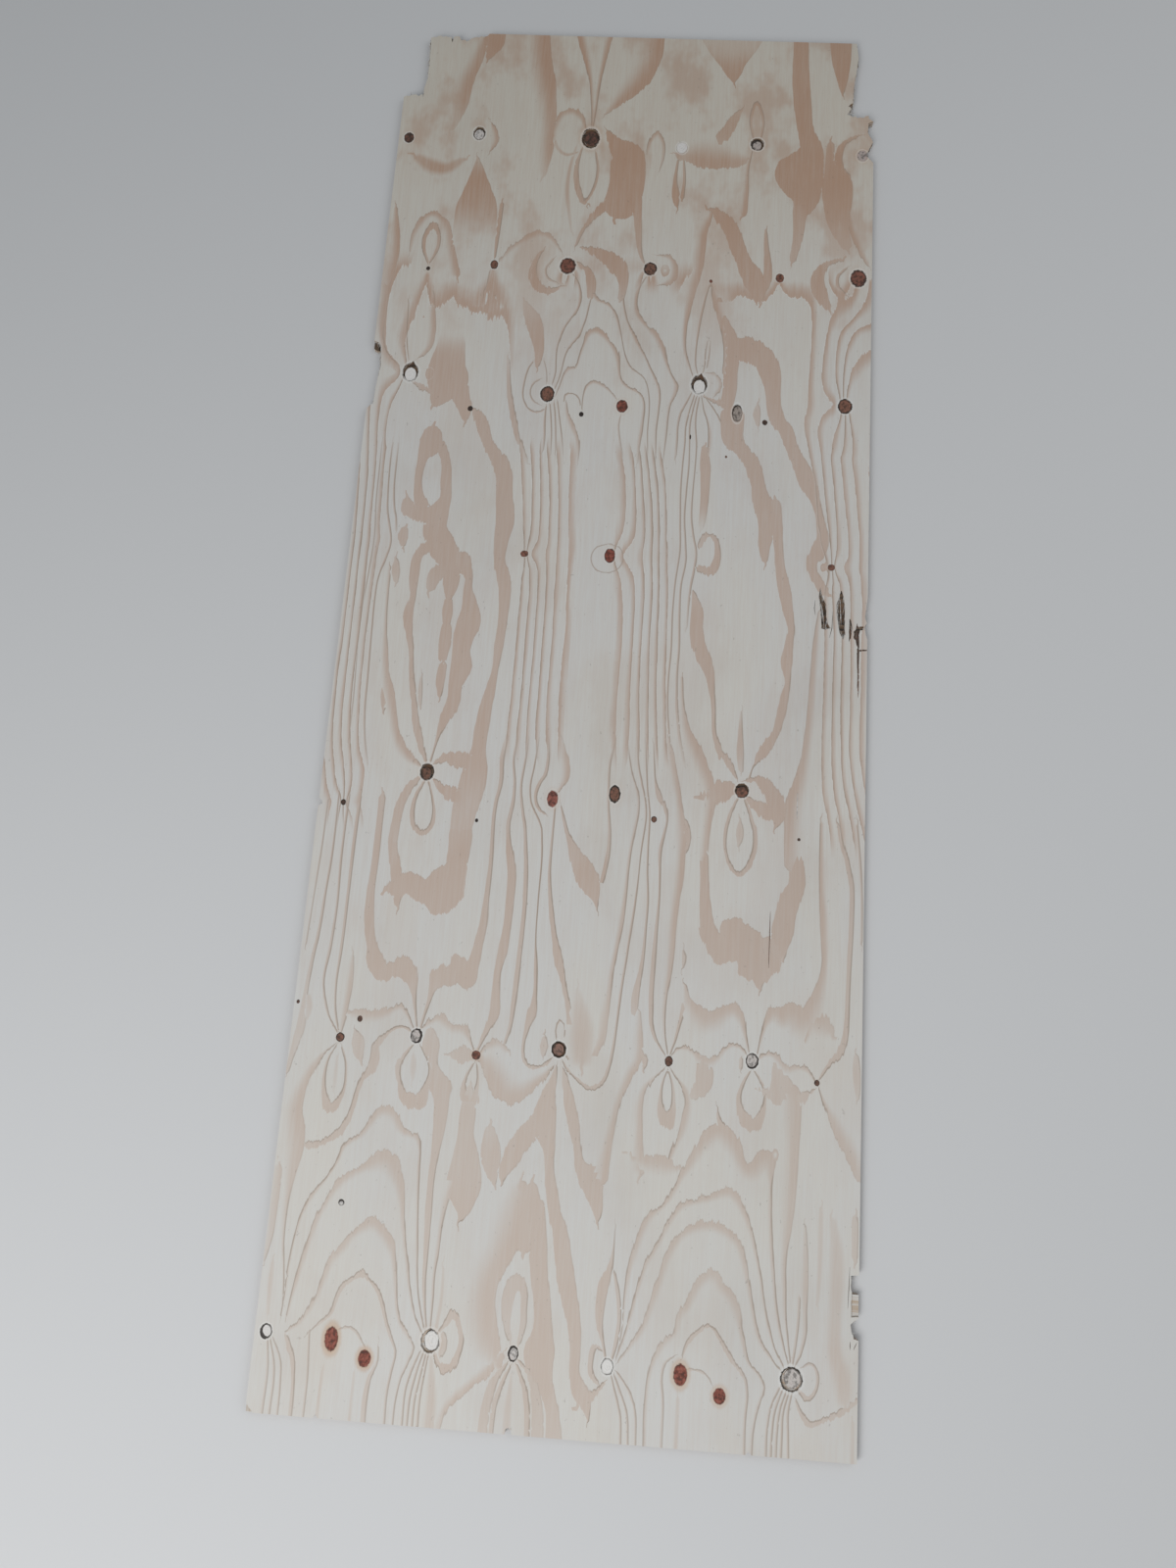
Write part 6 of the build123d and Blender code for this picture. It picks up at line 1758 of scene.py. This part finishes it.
class PlywoodSettings(bpy.types.PropertyGroup):
    """Sizes, colours and strengths a user may change."""

    grid_across: bpy.props.FloatProperty(
        name="Points across", default=6.0, min=2.0,
        description="Spacing of the face's points across, in mm")
    grid_along: bpy.props.FloatProperty(
        name="Points along", default=9.0, min=2.0,
        description="Spacing of the face's points along, in mm")
    grid_fine: bpy.props.FloatProperty(
        name="Points at knots", default=2.5, min=0.5,
        description="Spacing of the points near a knot, in mm")
    fibre_stray: bpy.props.FloatProperty(
        name="Fibre stray", default=0.22,
        description="How far fine fibres move a ring's edge, in rings")
    finger_stray: bpy.props.FloatProperty(
        name="Finger stray", default=0.16,
        description="How far coarse fingers move a ring's edge, in rings")
    sliver_spacing: bpy.props.FloatProperty(
        name="Sliver spacing", default=0.0014, min=0.0003, unit="LENGTH",
        description="How far apart the slivers stand")
    sliver_width: bpy.props.FloatProperty(
        name="Sliver width", default=0.0007, min=0.0001, unit="LENGTH",
        description="Usual width of a sliver's root")
    sliver_seed: bpy.props.IntProperty(
        name="Sliver seed", default=1, description="Picks the slivers' chance sizes")
    dirt: bpy.props.FloatProperty(
        name="Dirt", default=0.30, min=0.0, max=1.0, description="Dust and specks")
    early_colour: colour_setting("Earlywood", (0.60, 0.59, 0.565), "Pale wood between the rings")
    cream_colour: colour_setting("Creamy earlywood", (0.61, 0.59, 0.545), "The pale wood's warmer patches")
    # Darker, browner pale wood toward the head: partly its own tone, partly painted shade.
    shaded_head_early_colour: colour_setting(
        "Earlywood at the head", (0.56, 0.525, 0.455), "Browner pale wood, partly painted shade")
    late_colour: colour_setting("Latewood", (0.50, 0.385, 0.315), "Latewood in the sheet's middle")
    # Paler latewood toward the foot.
    foot_late_colour: colour_setting(
        "Latewood at the foot", (0.53, 0.44, 0.375), "Paler latewood toward the foot")
    # Darker, browner latewood toward the head: partly its own tone, partly painted shade.
    shaded_head_late_colour: colour_setting(
        "Latewood at the head", (0.43, 0.275, 0.19), "Browner latewood, partly painted shade")
    thin_late_colour: colour_setting(
        "Ring line", (0.31, 0.25, 0.20), "The thin dark line at a ring's edge")
    # Colour of the painted highlight on each ring's step, and of the pale ring round big knots.
    highlight_and_pale_ring_colour: colour_setting("Ring step", (0.72, 0.71, 0.68), "The painted highlight on the step beside a ring's edge")
    plug_colour: colour_setting("Pale plug", (0.70, 0.68, 0.65), "A loose knot's pale end grain")
    knot_red: colour_setting("Red knot", (0.21, 0.055, 0.035), "A sound red knot")
    knot_bright: colour_setting("Bright knot", (0.42, 0.15, 0.11), "A red knot's brighter fibres")
    knot_brown: colour_setting("Brown knot", (0.19, 0.12, 0.08), "A brown knot")
    # Bark and pitch round a knot, also used as painted shade in a knot's gap and in the torn pits.
    bark_and_shade_colour: colour_setting("Bark", (0.025, 0.018, 0.014), "Bark and pitch round a knot, and painted shade in gaps and torn pits")
    stain_colour: colour_setting("Stain", (0.48, 0.27, 0.13), "The stain that spreads from a knot")
    glue_colour: colour_setting("Glue", (0.13, 0.065, 0.035), "Glue lines and dried glue")
    end_colour: colour_setting("End grain", (0.42, 0.31, 0.21), "Cut ends of the fibres")
    end_dark_colour: colour_setting("Dark end grain", (0.25, 0.17, 0.11), "The darker ends")
    # Torn wood's dark brown: partly dirt, partly painted shade in the pits.
    torn_dirt_and_shade_colour: colour_setting(
        "Torn wood", (0.17, 0.115, 0.075), "Weathered fibres in painted shade where the face is torn off")
    dirt_colour: colour_setting("Dirt colour", (0.20, 0.17, 0.14), "Dust and specks")
    floor_colour: colour_setting("Floor", (0.60, 0.60, 0.60), "The stage's floor")
    surround_colour: colour_setting("Surround", (0.90, 0.95, 1.0), "The light from all round")
    floor_reach: bpy.props.FloatProperty(
        name="Floor reach", default=12.0, unit="LENGTH", description="Half the floor's width")
    key_power: bpy.props.FloatProperty(
        name="Key light", default=74.0, unit="POWER", description="Main light")
    fill_power: bpy.props.FloatProperty(
        name="Fill light", default=22.0, unit="POWER", description="Weaker light")
    surround_strength: bpy.props.FloatProperty(
        name="Surround strength", default=0.37, description="Light all round")
    lens: bpy.props.FloatProperty(
        name="Lens", default=24.75, description="The camera's focal length on a 36 mm long side, in mm")
    camera_place: bpy.props.FloatVectorProperty(
        name="Camera place", default=(0.074, -0.619, 1.735), subtype="TRANSLATION", unit="LENGTH",
        description="Where the camera stands over the sheet")
    camera_turn: bpy.props.FloatVectorProperty(
        name="Camera turn", default=tuple(math.radians(a) for a in (12.23, 1.80, 3.80)), subtype="EULER",
        description="How the camera is turned from looking straight down")


class PLYWOOD_OT_sheet(bpy.types.Operator):
    """Make the dressed sheet in place of the plain one"""

    bl_idname = "plywood.sheet"
    bl_label = "Dress the Sheet"

    def execute(self, context):
        sheet = make_sheet(context.scene.plywood)
        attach(sheet, SHEET_BODY)
        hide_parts(SHEET_NODE)
        return {"FINISHED"}


class PLYWOOD_OT_slivers(bpy.types.Operator):
    """Make the slivers along the torn corners, edges and strips"""

    bl_idname = "plywood.slivers"
    bl_label = "Add the Slivers"

    def execute(self, context):
        slivers = make_slivers(context.scene.plywood)
        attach(slivers, SHEET_BODY)
        return {"FINISHED"}


class PLYWOOD_OT_stage(bpy.types.Operator):
    """Make the floor, the lights and the camera"""

    bl_idname = "plywood.stage"
    bl_label = "Set the Stage"

    def execute(self, context):
        settings = context.scene.plywood
        make_floor(settings)
        light_stage(settings)
        add_camera(settings)
        context.scene.view_settings.view_transform = "Standard"
        return {"FINISHED"}


class PLYWOOD_PT_panel(bpy.types.Panel):
    """Lists the steps and settings of the plywood sheet"""

    bl_label = "Plywood Sheet"
    bl_space_type = "VIEW_3D"
    bl_region_type = "UI"
    bl_category = "Plywood"

    def draw(self, context):
        for step in STEPS:
            self.layout.operator(step.bl_idname)
        for name in PlywoodSettings.__annotations__:
            self.layout.prop(context.scene.plywood, name)


STEPS = (PLYWOOD_OT_sheet, PLYWOOD_OT_slivers, PLYWOOD_OT_stage)
CLASSES = (PlywoodSettings, *STEPS, PLYWOOD_PT_panel)


def register():
    for kind in CLASSES:
        bpy.utils.register_class(kind)
    bpy.types.Scene.plywood = bpy.props.PointerProperty(type=PlywoodSettings)


def unregister():
    del bpy.types.Scene.plywood
    for kind in reversed(CLASSES):
        bpy.utils.unregister_class(kind)


def main():
    register()
    bpy.ops.plywood.sheet()
    bpy.ops.plywood.slivers()
    bpy.ops.plywood.stage()


if __name__ == "__main__":
    main()
